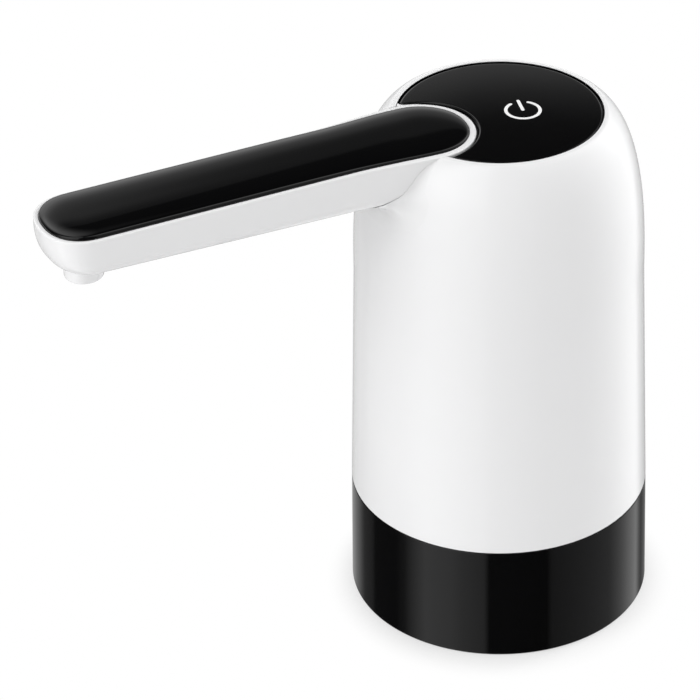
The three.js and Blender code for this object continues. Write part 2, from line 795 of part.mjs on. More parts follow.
function crankcase() {
  const shell = turned([
    [pumpRadius - pumpWall, caseBottom],
    [pumpRadius, caseBottom],
    [pumpRadius, caseTop],
    [noseRadius + fitGap, caseTop],
    [noseRadius + fitGap, caseTop - crankcaseRoof],
    [pumpRadius - pumpWall, caseTop - crankcaseRoof],
  ], plateSegments, pumpX);
  const bossTop = caseBottom + 2 * headFloor;
  const bosses = aroundCircle(cups, pumpScrewCircle, screwStartAngle).map(([x, y]) => (
    rod(screwBossRadius, caseBottom, bossTop, smallSegments, pumpX + x, y)));
  const skin = rod(pumpRadius, caseBottom, caseTop, plateSegments, pumpX);
  return piece('crankcase', cut(join(shell, ...bosses.map((boss) => boss.intersect(skin))),
    ...pumpScrewHoles(caseBottom - overrun, caseBottom + headFloor + fitGap)), darkPlastic);
}

// The hub is drawn about the motor axis; its crank bore leans through the pivot
function eccentricHub() {
  const bore = leaning(rodGeometry(crankRadius + fitGap, 0, crankLength + fitGap));
  const shaftHole = rod(shaftRadius + seatGap, shaftFoot - seatGap, hubTop + overrun, smallSegments);
  return piece('eccentric_hub', cut(rod(hubRadius, hubBottom, hubTop, middleSegments), bore, shaftHole),
    whiteGloss);
}

function rodGeometry(radius, bottom, top) {
  const geometry = new THREE.CylinderGeometry(radius, radius, top - bottom, smallSegments);
  return geometry.rotateX(Math.PI / 2).translate(0, 0, (bottom + top) / 2);
}

function leaning(geometry) {
  return solidOf(geometry.rotateY(radians(crankTilt)).translate(0, 0, pivotZ));
}

// Drawn upright about its own axis, with the pivot at zero height
function wobblePlate() {
  const bore = rod(crankRadius + fitGap, -overrun, wobbleHubStart + wobbleHubLength + overrun, smallSegments);
  const hub = rod(wobbleHub, wobbleHubStart, wobbleHubStart + wobbleHubLength, smallSegments);
  const discFoot = wobbleDiscAt - wobbleThickness / 2;
  const discTop = wobbleDiscAt + wobbleThickness / 2;
  const arms = Array.from({ length: cups }, (_, i) => {
    const arm = new THREE.BoxGeometry(cupCircle, wobbleArmWidth, wobbleThickness);
    arm.translate(cupCircle / 2, 0, wobbleDiscAt).rotateZ(radians((360 * i) / cups));
    return solidOf(arm);
  });
  const pads = aroundCircle(cups, cupCircle).map(([x, y]) => (
    rod(wobbleDisc - cupCircle, discFoot, discTop, smallSegments, x, y)));
  return piece('wobble_plate', cut(join(hub, ...arms, ...pads), bore), greyPlastic);
}

function motorCan() {
  const bore = bushRadius + seatGap;
  return piece('motor_can', turned([
    [bore, noseBottom],
    [noseRadius, noseBottom],
    [noseRadius, motorBottom],
    [motorRadius, motorBottom],
    [motorRadius, motorTop],
    [motorRadius - motorWall, motorTop],
    [motorRadius - motorWall, motorBottom + motorWall],
    [bore, motorBottom + motorWall],
  ], plateSegments, pumpX), brightSteel);
}

function motorBush(name, bottom) {
  const inner = shaftRadius + seatGap;
  return piece(name, pipe(inner, bushRadius, bottom, bottom + bushLength, smallSegments, pumpX), brass);
}

function motorEndBell() {
  const bore = bushRadius + seatGap;
  const spigotFootZ = bellBottom - bellSpigot;
  const spigotOuter = motorRadius - motorWall - seatGap;
  const body = turned([
    [bore, spigotFootZ],
    [spigotOuter, spigotFootZ],
    [spigotOuter, bellBottom],
    [motorRadius, bellBottom],
    [motorRadius, bellTop],
    [0, bellTop],
    [0, bellTop - motorWall],
    [bore, bellTop - motorWall],
  ], plateSegments, pumpX);
  return piece('motor_end_bell', body, darkPlastic);
}

function motorMagnet(name, side) {
  const bottom = coreBottom - magnetOverhang;
  return piece(name, sector(magnetRadius - magnetWall, magnetRadius, side - magnetAngle / 2,
    side + magnetAngle / 2, bottom, bottom + magnetLength, pumpX), ferrite);
}

function brush(name, side) {
  const top = bellBottom - bellSpigot - seatGap;
  const inner = side * (commutatorRadius + seatGap);
  const outer = side * (commutatorRadius + seatGap + brushThickness);
  return piece(name, block(pumpX - brushWidth / 2, pumpX + brushWidth / 2,
    Math.min(inner, outer), Math.max(inner, outer), top - brushLength, top), copper);
}

function rotorCore() {
  const parts = [rod(poleHub, coreBottom, coreTop, plateSegments)];
  for (let i = 0; i < poles; i += 1) {
    const angle = (360 * i) / poles;
    const neck = new THREE.BoxGeometry(coreRadius - poleShoe / 2, poleNeck, coreLength);
    neck.translate((coreRadius - poleShoe / 2) / 2, 0, coreBottom + coreLength / 2);
    parts.push(solidOf(neck.rotateZ(radians(angle))));
    parts.push(sector(coreRadius - poleShoe, coreRadius, angle - poleShoeAngle / 2,
      angle + poleShoeAngle / 2, coreBottom, coreTop));
  }
  const bore = rod(shaftRadius + seatGap, coreBottom - overrun, coreTop + overrun, smallSegments);
  return piece('rotor_core', cut(join(...parts), bore), plainSteel);
}

function rotorCoil(i) {
  const inner = poleHub + fitGap;
  const halfNeck = poleNeck / 2 + seatGap;
  const outer = Math.sqrt((coreRadius - poleShoe - fitGap) ** 2 - (halfNeck + coilWall) ** 2);
  const length = outer - inner;
  const middle = (inner + outer) / 2;
  const height = coreLength + 2 * (coilWall + seatGap);
  const wound = new THREE.BoxGeometry(length, 2 * (halfNeck + coilWall), height);
  const hole = new THREE.BoxGeometry(length + overrun, 2 * halfNeck, coreLength + 2 * seatGap);
  const placed = [wound, hole].map((geometry) => (
    solidOf(geometry.translate(middle, 0, coreBottom + coreLength / 2)
      .rotateZ(radians((360 * i) / poles)))));
  return piece(`rotor_coil_${i + 1}`, cut(...placed), copper);
}

function motorShaft() {
  const top = bellTop - motorWall - seatGap;
  return piece('motor_shaft', rod(shaftRadius, shaftFoot, top, smallSegments), brightSteel);
}

function commutator() {
  const top = bellBottom - bellSpigot - fitGap;
  return piece('commutator', pipe(shaftRadius + seatGap, commutatorRadius, top - commutatorLength, top,
    smallSegments), copper);
}

function damperSleeve() {
  const bottom = motorBottom + sleeveRise;
  return piece('motor_damper_sleeve', pipe(sleeveInner, sleeveOuter, bottom, bottom + sleeveLength,
    plateSegments, pumpX), darkPlastic);
}

function batteryCell() {
  const wrapTop = cellTop - cellCapHeight;
  return piece('battery_cell', turned([
    [0, cellBottom],
    [cellRadius - cellEdge, cellBottom],
    [cellRadius, cellBottom + cellEdge],
    [cellRadius, wrapTop - cellEdge],
    [cellRadius - cellEdge, wrapTop],
    [cellCapRadius, wrapTop],
    [cellCapRadius, cellTop],
    [0, cellTop],
  ], plateSegments, cellX), cellWrap);
}

// Trough round the cell with a clip round the motor sleeve
function batteryCradle() {
  const clipFoot = cradleFoot + clipRise;
  return piece('battery_cradle', join(
    rod(cradleOuter, cradleFoot, cradleFoot + cradleWall, plateSegments, cellX),
    sector(cradleInner, cradleOuter, cradleOpening / 2, 360 - cradleOpening / 2,
      cradleFoot + cradleWall / 2, cradleFoot + cradleHeight, cellX),
    sector(clipInner, clipOuter, clipOpening / 2 - 180, 180 - clipOpening / 2,
      clipFoot, clipFoot + clipHeight, pumpX),
  ), darkPlastic);
}

function chargingBoard() {
  const half = chargeBoardWidth / 2;
  return piece('charging_board', block(chargeBoardX, chargeBoardX + boardThickness, -half, half,
    chargeBoardFoot, chargeBoardTop), boardGreen);
}

// Radius of the outer wall at a height between the seam and the shoulder
function wallRadiusAt(height) {
  const share = (height - seamHeight) / (shoulderHeight - seamHeight);
  return mix(seamRadius, shoulderRadius, share);
}

function slot(width, thickness, corner, from, to) {
  const shape = new THREE.Shape();
  const [w, t] = [width / 2 - corner, thickness / 2 - corner];
  shape.absarc(w, t, corner, 0, Math.PI / 2, false);
  shape.absarc(-w, t, corner, Math.PI / 2, Math.PI, false);
  shape.absarc(-w, -t, corner, Math.PI, 1.5 * Math.PI, false);
  shape.absarc(w, -t, corner, 1.5 * Math.PI, 2 * Math.PI, false);
  const settings = { depth: to - from, bevelEnabled: false, curveSegments: cornerSegments };
  const geometry = new THREE.ExtrudeGeometry(shape, settings);
  geometry.rotateX(Math.PI / 2).rotateZ(Math.PI / 2);
  return solidOf(geometry.translate(from, 0, socketZ));
}

function usbSocket() {
  const back = chargeBoardX + boardThickness + seatGap;
  const mouth = wallRadiusAt(socketZ) - socketSetback;
  const corner = socketThickness / 2 - seatGap;
  const inside = corner - socketShell;
  const shell = cut(
    slot(socketWidth, socketThickness, corner, back, mouth),
    slot(socketWidth - 2 * socketShell, socketThickness - 2 * socketShell, inside,
      back + 2 * socketShell, mouth + overrun),
  );
  const tongue = block(back + socketShell, mouth - tongueSetback, -tongueWidth / 2, tongueWidth / 2,
    socketZ - tongueThickness / 2, socketZ + tongueThickness / 2);
  return piece('usb_socket', join(shell, tongue), brightSteel);
}

function mainHousing() {
  const seam = seamHeight + seamGap;
  const beadZ = (spigotFoot + seamHeight) / 2;
  const dome = domePoints(crownRadius, shoulderRadius, shoulderHeight, crownHeight, lipRadius,
    domeSteps);
  const lipHeight = dome.at(-1)[1];
  const outside = turned([
    [0, spigotFoot],
    [spigotRadius, spigotFoot],
    [spigotRadius, beadZ - snapWidth / 2],
    [spigotRadius + snapBead, beadZ],
    [spigotRadius, beadZ + snapWidth / 2],
    [spigotRadius, seam],
    [seamRadius, seam],
    ...dome,
    [recessRadius + lipBevel, lipHeight],
    [recessRadius, lipHeight - lipBevel],
    [recessRadius, shelfTop],
    [0, shelfTop],
  ], bodySegments);
  const ceiling = domePoints(cavityCrownRadius, shoulderRadius - housingWall, shoulderHeight, shelfBottom,
    cavityCrownRadius, ceilingSteps);
  const inside = turned([
    [0, spigotFoot - overrun],
    [spigotBore, spigotFoot - overrun],
    [spigotBore, seam],
    ...ceiling,
    [0, shelfBottom],
  ], bodySegments);
  const lining = armBody(-fitGap - pocketWall, -fitGap - pocketWall, armTop).intersect(outside);
  const screwPosts = aroundCircle(chassisScrews, screwCircle, screwStartAngle).map(([x, y]) => (
    rod(screwBossRadius, spigotFoot, spigotFoot + chassisScrewLength, smallSegments, x, y)));
  const boardPosts = [-boardScrewY, boardScrewY].map((y) => (
    rod(screwBossRadius, boardTop + seatGap, shelfTop - shelfThickness / 2, smallSegments, boardScrewX, y)));
  return piece('main_housing', cut(
    join(cut(outside, inside), lining, ...screwPosts, ...boardPosts),
    armBody(-fitGap, -fitGap, armTop + overrun),
    ...housingHoles(),
  ), whiteGloss);
}

function housingHoles() {
  const holes = [];
  for (const [x, y] of aroundCircle(chassisScrews, screwCircle, screwStartAngle)) {
    holes.push(rod(screwRadius + seatGap, spigotFoot - overrun, spigotFoot + chassisScrewLength,
      smallSegments, x, y));
  }
  for (const y of [-boardScrewY, boardScrewY]) {
    holes.push(rod(screwRadius + seatGap, boardTop, boardBottom + boardScrewLength, smallSegments,
      boardScrewX, y));
  }
  for (const [x, y] of keyPostPlaces()) {
    holes.push(rod(keyPostRadius + fitGap, shelfBottom - overrun, shelfTop + overrun, smallSegments, x, y));
  }
  holes.push(rod(plungerRadius + fitGap, shelfBottom - overrun, shelfTop + overrun, smallSegments, plungerX));
  holes.push(rod(windowRadius, shelfBottom - overrun, shelfTop + overrun, plateSegments, symbolX, symbolY));
  holes.push(rod(tubeRadius + fitGap, pocketFoot - overrun, pocketFloor + overrun, tubeSides, -tubeRootX));
  holes.push(rod(tubeRadius + 2 * sealSection + fitGap, pocketFloor - 2 * sealSection + seatGap,
    pocketFloor + seatGap, plateSegments, -tubeRootX));
  for (const y of [-spoutScrewY, spoutScrewY]) {
    holes.push(rod(screwRadius + seatGap, pocketFoot - overrun, pocketFloor + overrun, smallSegments,
      -spoutScrewX, y));
  }
  holes.push(slot(socketWidth + 2 * fitGap, socketThickness + 2 * fitGap, socketThickness / 2,
    spigotBore - overrun, seamRadius + overrun));
  return holes;
}

function keyPostPlaces() {
  return keyPostAngles.map((angle) => [
    keyPostCircle * Math.cos(radians(angle)),
    keyPostCircle * Math.sin(radians(angle)),
  ]);
}

// Open ring and bar of the power symbol, grown all round by a clearance
function symbolShapes(growth) {
  const half = symbolStroke / 2 + growth;
  const start = radians(90 + symbolGapAngle / 2);
  const end = radians(450 - symbolGapAngle / 2);
  const ring = new THREE.Shape();
  ring.absarc(0, 0, symbolRadius + half, start, end, false);
  ring.absarc(symbolRadius * Math.cos(end), symbolRadius * Math.sin(end), half, end, end + Math.PI, false);
  ring.absarc(0, 0, symbolRadius - half, end, start, true);
  ring.absarc(symbolRadius * Math.cos(start), symbolRadius * Math.sin(start), half,
    start + Math.PI, start + 2 * Math.PI, false);
  const bar = new THREE.Shape();
  bar.absarc(0, symbolBarOuter, half, 0, Math.PI, false);
  bar.absarc(0, symbolBarInner, half, Math.PI, 2 * Math.PI, false);
  return [ring, bar];
}

function symbolSolids(growth, bottom, top) {
  return symbolShapes(growth).map((shape) => {
    const settings = { depth: top - bottom, bevelEnabled: false, curveSegments: symbolSegments };
    const geometry = new THREE.ExtrudeGeometry(shape, settings).rotateZ(radians(symbolTurn));
    return solidOf(geometry.translate(symbolX, symbolY, bottom));
  });
}

function powerKey() {
  const disc = rod(keyRadius, keyBottom, keyHeight, bodySegments);
  const bite = rod(armRearRadius + keyBiteGap, keyBottom - overrun, keyHeight + overrun, bodySegments,
    -armRearCentre);
  const hookTop = shelfBottom - seatGap;
  const posts = keyPostPlaces().flatMap(([x, y]) => [
    rod(keyPostRadius, hookTop - keyHookHeight / 2, keyHeight - keyThickness / 2, smallSegments, x, y),
    rod(keyPostRadius + keyHookWidth, hookTop - keyHookHeight, hookTop, smallSegments, x, y),
  ]);
  const pusherTop = keyHeight - keyThickness / 2;
  const pusher = rod(plungerRadius, plungerTop + seatGap, pusherTop, smallSegments, plungerX);
  return piece('power_key', cut(join(disc, ...posts, pusher), bite,
    ...symbolSolids(guideGap, keyBottom - overrun, keyHeight + overrun)), blackGloss);
}

function symbolLightGuide() {
  const base = rod(guideRadius, guideBottom, guideBottom + guideThickness, middleSegments, symbolX, symbolY);
  const raised = symbolSolids(0, guideBottom + guideThickness / 2, keyHeight);
  return piece('symbol_light_guide', join(base, ...raised), symbolWhite);
}

function tactSwitch() {
  const half = switchWidth / 2;
  const bottom = boardTop + seatGap;
  const body = block(plungerX - half, plungerX + half, -half, half, bottom, switchTop);
  const well = rod(plungerRadius + fitGap, switchTop - plungerStroke, switchTop + overrun,
    smallSegments, plungerX);
  return piece('tact_switch', cut(body, well), darkPlastic);
}

function switchPlunger() {
  const foot = switchTop - plungerStroke + keyTravel + seatGap;
  return piece('switch_plunger', rod(plungerRadius, foot, plungerTop, smallSegments, plungerX), symbolWhite);
}

function indicatorLamp() {
  const bottom = boardTop + seatGap;
  return piece('indicator_lamp', block(symbolX - lampLength / 2, symbolX + lampLength / 2,
    symbolY - lampWidth / 2, symbolY + lampWidth / 2, bottom, bottom + lampHeight), symbolWhite);
}

function controlBoard() {
  const disc = rod(boardRadius, boardBottom, boardTop, plateSegments);
  const away = block(-boardRadius - overrun, boardEdgeX, -boardRadius - overrun, boardRadius + overrun,
    boardBottom - overrun, boardTop + overrun);
  const holes = [-boardScrewY, boardScrewY].map((y) => (
    rod(screwRadius + seatGap, boardBottom - overrun, boardTop + overrun, smallSegments, boardScrewX, y)));
  return piece('control_board', cut(disc, away, ...holes), boardGreen);
}

function spoutShell() {
  const outer = armBody(0, 0, armTop);
  const bosses = [-spoutScrewY, spoutScrewY].map((y) => (
    rod(screwBossRadius, armRootBottom + armFloor / 2, armRootBottom + armFloor + spoutBossHeight,
      smallSegments, -spoutScrewX, y)));
  const bossRadius = nozzleRadius + seatGap + armFloor;
  const nozzleBoss = rod(bossRadius, armTipBottom, nozzleHead, plateSegments, -nozzleX);
  const coverPocket = plate(new THREE.Shape(coverOutline(seatGap)), coverBottom - seatGap, armTop + overrun);
  const screwHoles = [-spoutScrewY, spoutScrewY].map((y) => (
    rod(screwRadius + seatGap, armRootBottom - overrun, pocketFoot + spoutScrewLength + seatGap,
      smallSegments, -spoutScrewX, y)));
  const rootHole = rod(tubeRadius + fitGap, armRootBottom - overrun, armRootBottom + armFloor + overrun,
    tubeSides, -tubeRootX);
  const nozzleHole = rod(nozzleRadius + seatGap, armTipBottom - overrun, nozzleHead + overrun,
    plateSegments, -nozzleX);
  const hollow = cut(outer, armBody(armWall, armFloor, armTop + overrun));
  return piece('spout_shell', cut(join(hollow, ...bosses, nozzleBoss.intersect(outer)),
    coverPocket, rootHole, nozzleHole, ...screwHoles), whiteGloss);
}

// Crowned black cover: nearly flat across the arm with round shoulders, level over the body
function spoutCover() {
  const outline = coverOutline(0);
  const flat = outline.map(({ x, y }) => new THREE.Vector3(x, y, coverBottom));
  const rings = coverRingShares.map((share) => outline.map(({ x, y }) => {
    const spineX = THREE.MathUtils.clamp(x, -armTipCentre, -armRearCentre);
    const crown = mix(coverRearCrown, coverCrown, THREE.MathUtils.smoothstep(-x, armRearCentre, armFlareEnd));
    const rise = crown * (1 - (1 - share) ** coverCrownPower) ** (1 / coverCrownPower);
    return new THREE.Vector3(mix(x, spineX, share), y * (1 - share), armTop + rise);
  }));
  return piece('spout_cover', loft([flat, ...rings]), blackGloss);
}

// Path with a straight run at each end and round bends between
function spoutTube() {
  const corner = (x, z, side, from, to) => {
    const points = [];
    for (let i = 0; i <= tubeBendSteps; i += 1) {
      const angle = radians(mix(from, to, i / tubeBendSteps));
      points.push(new THREE.Vector3(x + side * tubeBend * Math.cos(angle), 0,
        z + tubeBend * Math.sin(angle)));
    }
    return points;
  };
  const centre = tubeHeight - tubeBend;
  const points = [
    new THREE.Vector3(-tubeRootX, 0, tubeRootHeight),
    ...corner(-tubeRootX - tubeBend, centre, 1, 0, 90),
    ...corner(-nozzleX + tubeBend, centre, -1, 90, 0),
    new THREE.Vector3(-nozzleX, 0, tubeFoot),
  ];
  return piece('spout_tube', sweep(points, tubeRadius, tubeBore, tubeSides), clearSilicone);
}

// Round section carried through listed points, with a mitre at each
function sweep(points, radius, bore, sides) {
  const ring = (i, size) => {
    const before = points[Math.max(0, i - 1)];
    const after = points[Math.min(points.length - 1, i + 1)];
    const ahead = after.clone().sub(before).normalize();
    const side = new THREE.Vector3(0, 1, 0);
    const up = ahead.clone().cross(side);
    return Array.from({ length: sides }, (_, k) => {
      const angle = (2 * Math.PI * (k + 0.5)) / sides;
      return points[i].clone()
        .addScaledVector(side, size * Math.cos(angle))
        .addScaledVector(up, size * Math.sin(angle));
    });
  };
  const skins = [radius, bore].map((size) => points.map((_, i) => ring(i, size)));
  const index = [];
  const at = (skin, i, k) => (skin * points.length + i) * sides + (k % sides);
  const quad = (a, b, c, d) => index.push(a, b, c, a, c, d);
  for (let k = 0; k < sides; k += 1) {
    for (let i = 0; i + 1 < points.length; i += 1) {
      quad(at(0, i, k), at(0, i, k + 1), at(0, i + 1, k + 1), at(0, i + 1, k));
      quad(at(1, i, k + 1), at(1, i, k), at(1, i + 1, k), at(1, i + 1, k + 1));
    }
    const end = points.length - 1;
    quad(at(0, 0, k + 1), at(0, 0, k), at(1, 0, k), at(1, 0, k + 1));
    quad(at(0, end, k), at(0, end, k + 1), at(1, end, k + 1), at(1, end, k));
  }
  const geometry = new THREE.BufferGeometry().setFromPoints(skins.flat(2));
  geometry.setIndex(index);
  return solidOf(geometry);
}

function nozzle() {
  const straightenerTop = nozzleFoot + nozzleEdge + straightenerHeight;
  return piece('nozzle', turned([
    [straightenerBore, nozzleFoot],
    [nozzleRadius - nozzleEdge, nozzleFoot],
    [nozzleRadius - nozzleEdge * edgeRoundShare, nozzleFoot + nozzleEdge * edgeRoundShare],
    [nozzleRadius, nozzleFoot + nozzleEdge],
    [nozzleRadius, nozzleHead],
    [tubeRadius + fitGap, nozzleHead],
    [tubeRadius + fitGap, tubeFoot - seatGap],
    [tubeBore, tubeFoot - seatGap],
    [tubeBore, straightenerTop + seatGap],
    [straightenerBore, straightenerTop + seatGap],
  ], middleSegments, -nozzleX), whiteGloss);
}

function flowStraightener() {
  const bottom = nozzleFoot + nozzleEdge;
  const top = bottom + straightenerHeight;
  const outer = straightenerBore - seatGap;
  const ring = pipe(outer - vaneThickness, outer, bottom, top, middleSegments, -nozzleX);
  const bars = Array.from({ length: vanes }, (_, i) => {
    const bar = new THREE.BoxGeometry(2 * outer - vaneThickness, vaneThickness, straightenerHeight);
    bar.rotateZ(radians((180 * i) / vanes)).translate(-nozzleX, 0, (bottom + top) / 2);
    return solidOf(bar);
  });
  return piece('flow_straightener', join(ring, ...bars), greyPlastic);
}

function outletHose() {
  const start = -pumpRadius - fitGap;
  const top = tubeRootHeight + hoseOverlap;
  const route = new THREE.CurvePath();
  const straightOut = new THREE.Vector3(pumpX, start - outletLength - hoseWall, outletZ);
  const straightUp = new THREE.Vector3(-tubeRootX, 0, tubeRootHeight - hoseOuter);
  const middle = hoseRouteShares.map(([x, y, z]) => new THREE.Vector3(
    mix(pumpX, straightUp.x, x),
    -spigotBore * y,
    mix(outletZ, straightUp.z, z),
  ));
  route.add(new THREE.LineCurve3(new THREE.Vector3(pumpX, start, outletZ), straightOut));
  route.add(new THREE.CatmullRomCurve3([straightOut, ...middle, straightUp]));
  route.add(new THREE.LineCurve3(straightUp, new THREE.Vector3(-tubeRootX, 0, top)));
  return piece('outlet_hose', along(route, hoseOuter, hoseInner, tubeSides, hoseSteps), clearSilicone);
}

// Wire between two heights; its route gives shares of the run, of the offset in Y and of the rise
function lead(name, route, from, to, y, finish) {
  const curve = new THREE.CatmullRomCurve3(route.map(([run, spread, rise]) => (
    new THREE.Vector3(mix(from[0], to[0], run), y * spread, mix(from[1], to[1], rise)))));
  const steps = Math.ceil(curve.getLength() / (leadStepShare * leadRadius));
  return piece(name, along(curve, leadRadius, 0, 2 * leadSides, steps), finish);
}

const motorLeadFoot = [pumpX + motorLeadX, bellTop + fitGap];
const motorLeadHead = [pumpX + motorLeadX + motorLeadRun, boardBottom - fitGap];
const supplyLeadFoot = [chargeBoardX + boardThickness / 2, chargeBoardTop + fitGap];
const supplyLeadHead = [boardRadius - supplyLeadInset, boardBottom - fitGap];

const rotor = new THREE.Group();
rotor.position.set(pumpX, 0, 0);
const crank = new THREE.Group();
crank.position.set(pumpX, 0, pivotZ);
crank.rotation.y = radians(crankTilt);
crank.add(
  piece('crank_pin', rod(crankRadius, fitGap, crankLength, smallSegments), brightSteel),
  wobblePlate(),
);
rotor.add(
  eccentricHub(),
  motorShaft(),
  rotorCore(),
  ...Array.from({ length: poles }, (_, i) => rotorCoil(i)),
  commutator(),
);

const key = new THREE.Group();
key.add(powerKey(), symbolLightGuide(), switchPlunger());

const spout = new THREE.Group();
spout.add(
  spoutShell(),
  spoutCover(),
  spoutTube(),
  nozzle(),
  flowStraightener(),
  ringSeal('spout_seal', tubeRadius + seatGap, pocketFloor - sealSection + seatGap, -tubeRootX),
  screw('spout_screw_1', -spoutScrewX, -spoutScrewY, pocketFoot - seatGap, spoutScrewLength),
  screw('spout_screw_2', -spoutScrewX, spoutScrewY, pocketFoot - seatGap, spoutScrewLength),
);

const pumpUnit = new THREE.Group();
pumpUnit.add(
  inletNipple(),
  ringSeal('inlet_seal', inletRadius + seatGap, headBottom + sealSection, pumpX),
  pumpHead(),
  valvePlate(),
  checkValve(),
  diaphragm(),
  crankcase(),
  motorCan(),
  motorEndBell(),
  motorBush('motor_bush_lower', noseBottom + seatGap),
  motorBush('motor_bush_upper', bellTop - motorWall - seatGap - bushLength),
  motorMagnet('motor_magnet_1', 0),
  motorMagnet('motor_magnet_2', 180),
  brush('brush_1', 1),
  brush('brush_2', -1),
  damperSleeve(),
  outletHose(),
  ...aroundCircle(cups, pumpScrewCircle, screwStartAngle).map((place, i) => (
    pumpScrew(`pump_screw_${i + 1}`, place))),
);

const powerUnit = new THREE.Group();
powerUnit.add(
  batteryCell(),
  batteryCradle(),
  chargingBoard(),
  usbSocket(),
  controlBoard(),
  tactSwitch(),
  indicatorLamp(),
  screw('board_screw_1', boardScrewX, -boardScrewY, boardBottom - seatGap, boardScrewLength - seatGap),
  screw('board_screw_2', boardScrewX, boardScrewY, boardBottom - seatGap, boardScrewLength - seatGap),
  lead('motor_lead_red', motorLeadShares, motorLeadFoot, motorLeadHead, motorLeadY, redLead),
  lead('motor_lead_black', motorLeadShares, motorLeadFoot, motorLeadHead, -motorLeadY, blackLead),
  lead('supply_lead_red', supplyLeadShares, supplyLeadFoot, supplyLeadHead, supplyLeadY, redLead),
  lead('supply_lead_black', supplyLeadShares, supplyLeadFoot, supplyLeadHead, -supplyLeadY, blackLead),
);

const pump = new THREE.Group();
pump.add(
  baseCollar(),
  neckGripRing(),
  chassis(),
  mainHousing(),
  ...aroundCircle(chassisScrews, screwCircle, screwStartAngle).map(([x, y], i) => (
    screw(`chassis_screw_${i + 1}`, x, y, neckSeatHeight - seatGap, chassisScrewLength))),
  key,
  spout,
  pumpUnit,
  rotor,
  crank,
  powerUnit,
);
pump.position.z = -neckSeatHeight;

export default pump;
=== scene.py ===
import json
import math

import bmesh
import bpy
from mathutils import Matrix, Vector


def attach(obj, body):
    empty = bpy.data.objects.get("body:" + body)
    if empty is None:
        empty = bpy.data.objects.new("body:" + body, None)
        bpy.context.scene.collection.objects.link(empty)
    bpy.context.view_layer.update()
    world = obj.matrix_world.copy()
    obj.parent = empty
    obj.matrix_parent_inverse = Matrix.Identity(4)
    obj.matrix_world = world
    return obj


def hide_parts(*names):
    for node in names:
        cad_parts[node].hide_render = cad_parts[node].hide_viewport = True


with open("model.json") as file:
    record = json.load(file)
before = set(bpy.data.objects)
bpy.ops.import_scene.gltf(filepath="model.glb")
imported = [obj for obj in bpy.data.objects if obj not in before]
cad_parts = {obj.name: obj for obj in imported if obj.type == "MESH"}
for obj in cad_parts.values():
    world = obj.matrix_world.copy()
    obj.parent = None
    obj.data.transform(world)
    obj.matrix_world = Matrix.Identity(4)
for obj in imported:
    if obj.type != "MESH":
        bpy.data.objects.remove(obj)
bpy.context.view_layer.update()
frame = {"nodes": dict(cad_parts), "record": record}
scene = bpy.context.scene
scene.view_settings.view_transform = "Standard"

mm = 0.001
neckSeat = 23.4  # height of the neck seat over the foot, where the frame has its origin

cameraSet = {
    "target": (-32.71, 15.32, 42.43),
    "offset": (-310.9, -674.8, 478.8),
    "roll": -1.47,
    "lens": 187.03,
    "sensor": 36,
    "clip": (0.01, 50),
}


def makeCamera(settings):
    data = bpy.data.cameras.new("photoCamera")
    data.lens = settings["lens"]
    data.sensor_width = settings["sensor"]
    data.clip_start, data.clip_end = settings["clip"]
    camera = bpy.data.objects.new("photoCamera", data)
    scene.collection.objects.link(camera)
    offset = Vector(settings["offset"])
    turn = (-offset).to_track_quat("-Z", "Y").to_matrix().to_4x4()
    roll = Matrix.Rotation(math.radians(settings["roll"]), 4, "Z")
    place = Matrix.Translation((Vector(settings["target"]) + offset) * mm)
    camera.matrix_world = place @ turn @ roll
    scene.camera = camera


makeCamera(cameraSet)
print("camera placed")


# One socket of a node tree: arithmetic on it adds Math nodes, and node() adds any other
class Signal:
    def __init__(self, tree, socket):
        self.tree = tree
        self.socket = socket

    def node(self, kind, settings=None, sockets=None, out=0):
        made = self.tree.nodes.new("ShaderNode" + kind)
        for name, value in (settings or {}).items():
            if name == "stops":
                ramp = made.color_ramp
                ramp.elements.remove(ramp.elements[1])
                ramp.elements[0].position = value[0][0]
                for position, _ in value[1:]:
                    ramp.elements.new(position)
                for element, (_, level) in zip(ramp.elements, value):
                    element.color = (level, level, level, 1)
            else:
                setattr(made, name, value)
        for name, value in (sockets or {}).items():
            if isinstance(value, Signal):
                self.tree.links.new(value.socket, made.inputs[name])
            else:
                made.inputs[name].default_value = value
        return Signal(self.tree, made.outputs[out])

    def maths(self, operation, *values, clamp=False):
        return self.node("Math", {"operation": operation, "use_clamp": clamp}, dict(enumerate(values)))

    def __add__(self, other):
        return self.maths("ADD", self, other)

    def __radd__(self, other):
        return self.maths("ADD", other, self)

    def __sub__(self, other):
        return self.maths("SUBTRACT", self, other)

    def __rsub__(self, other):
        return self.maths("SUBTRACT", other, self)

    def __mul__(self, other):
        return self.maths("MULTIPLY", self, other)

    def __rmul__(self, other):
        return self.maths("MULTIPLY", other, self)

    def feeds(self, shader, name):
        self.tree.links.new(self.socket, shader.inputs[name])


def newMaterial(name):
    material = bpy.data.materials.new(name)
    material.use_nodes = True
    tree = material.node_tree
    return material, tree.nodes["Principled BSDF"], Signal(tree, None).node("TexCoord", out="Object")


def noise(place, scale, detail=2, rough=0.5):
    sockets = {"Vector": place, "Scale": scale, "Detail": detail, "Roughness": rough}
    return place.node("TexNoise", sockets=sockets)


def mixed(amount, dark, light):
    return amount.node("Mix", {"data_type": "RGBA"}, {0: amount, 6: dark, 7: light}, out=2)


texture = {
    "cloudScale": 55,
    "cloudDetail": 3,
    "hazeScale": 130,
    "hazeDetail": 4,
    "hazeRough": 0.6,
    "hazeShare": 0.3,  # how far the gloss swings, as a share of the roughness
    "hazeFoot": 0.85,
    "rippleScale": 60,
    "coatRoughness": 0.03,
}


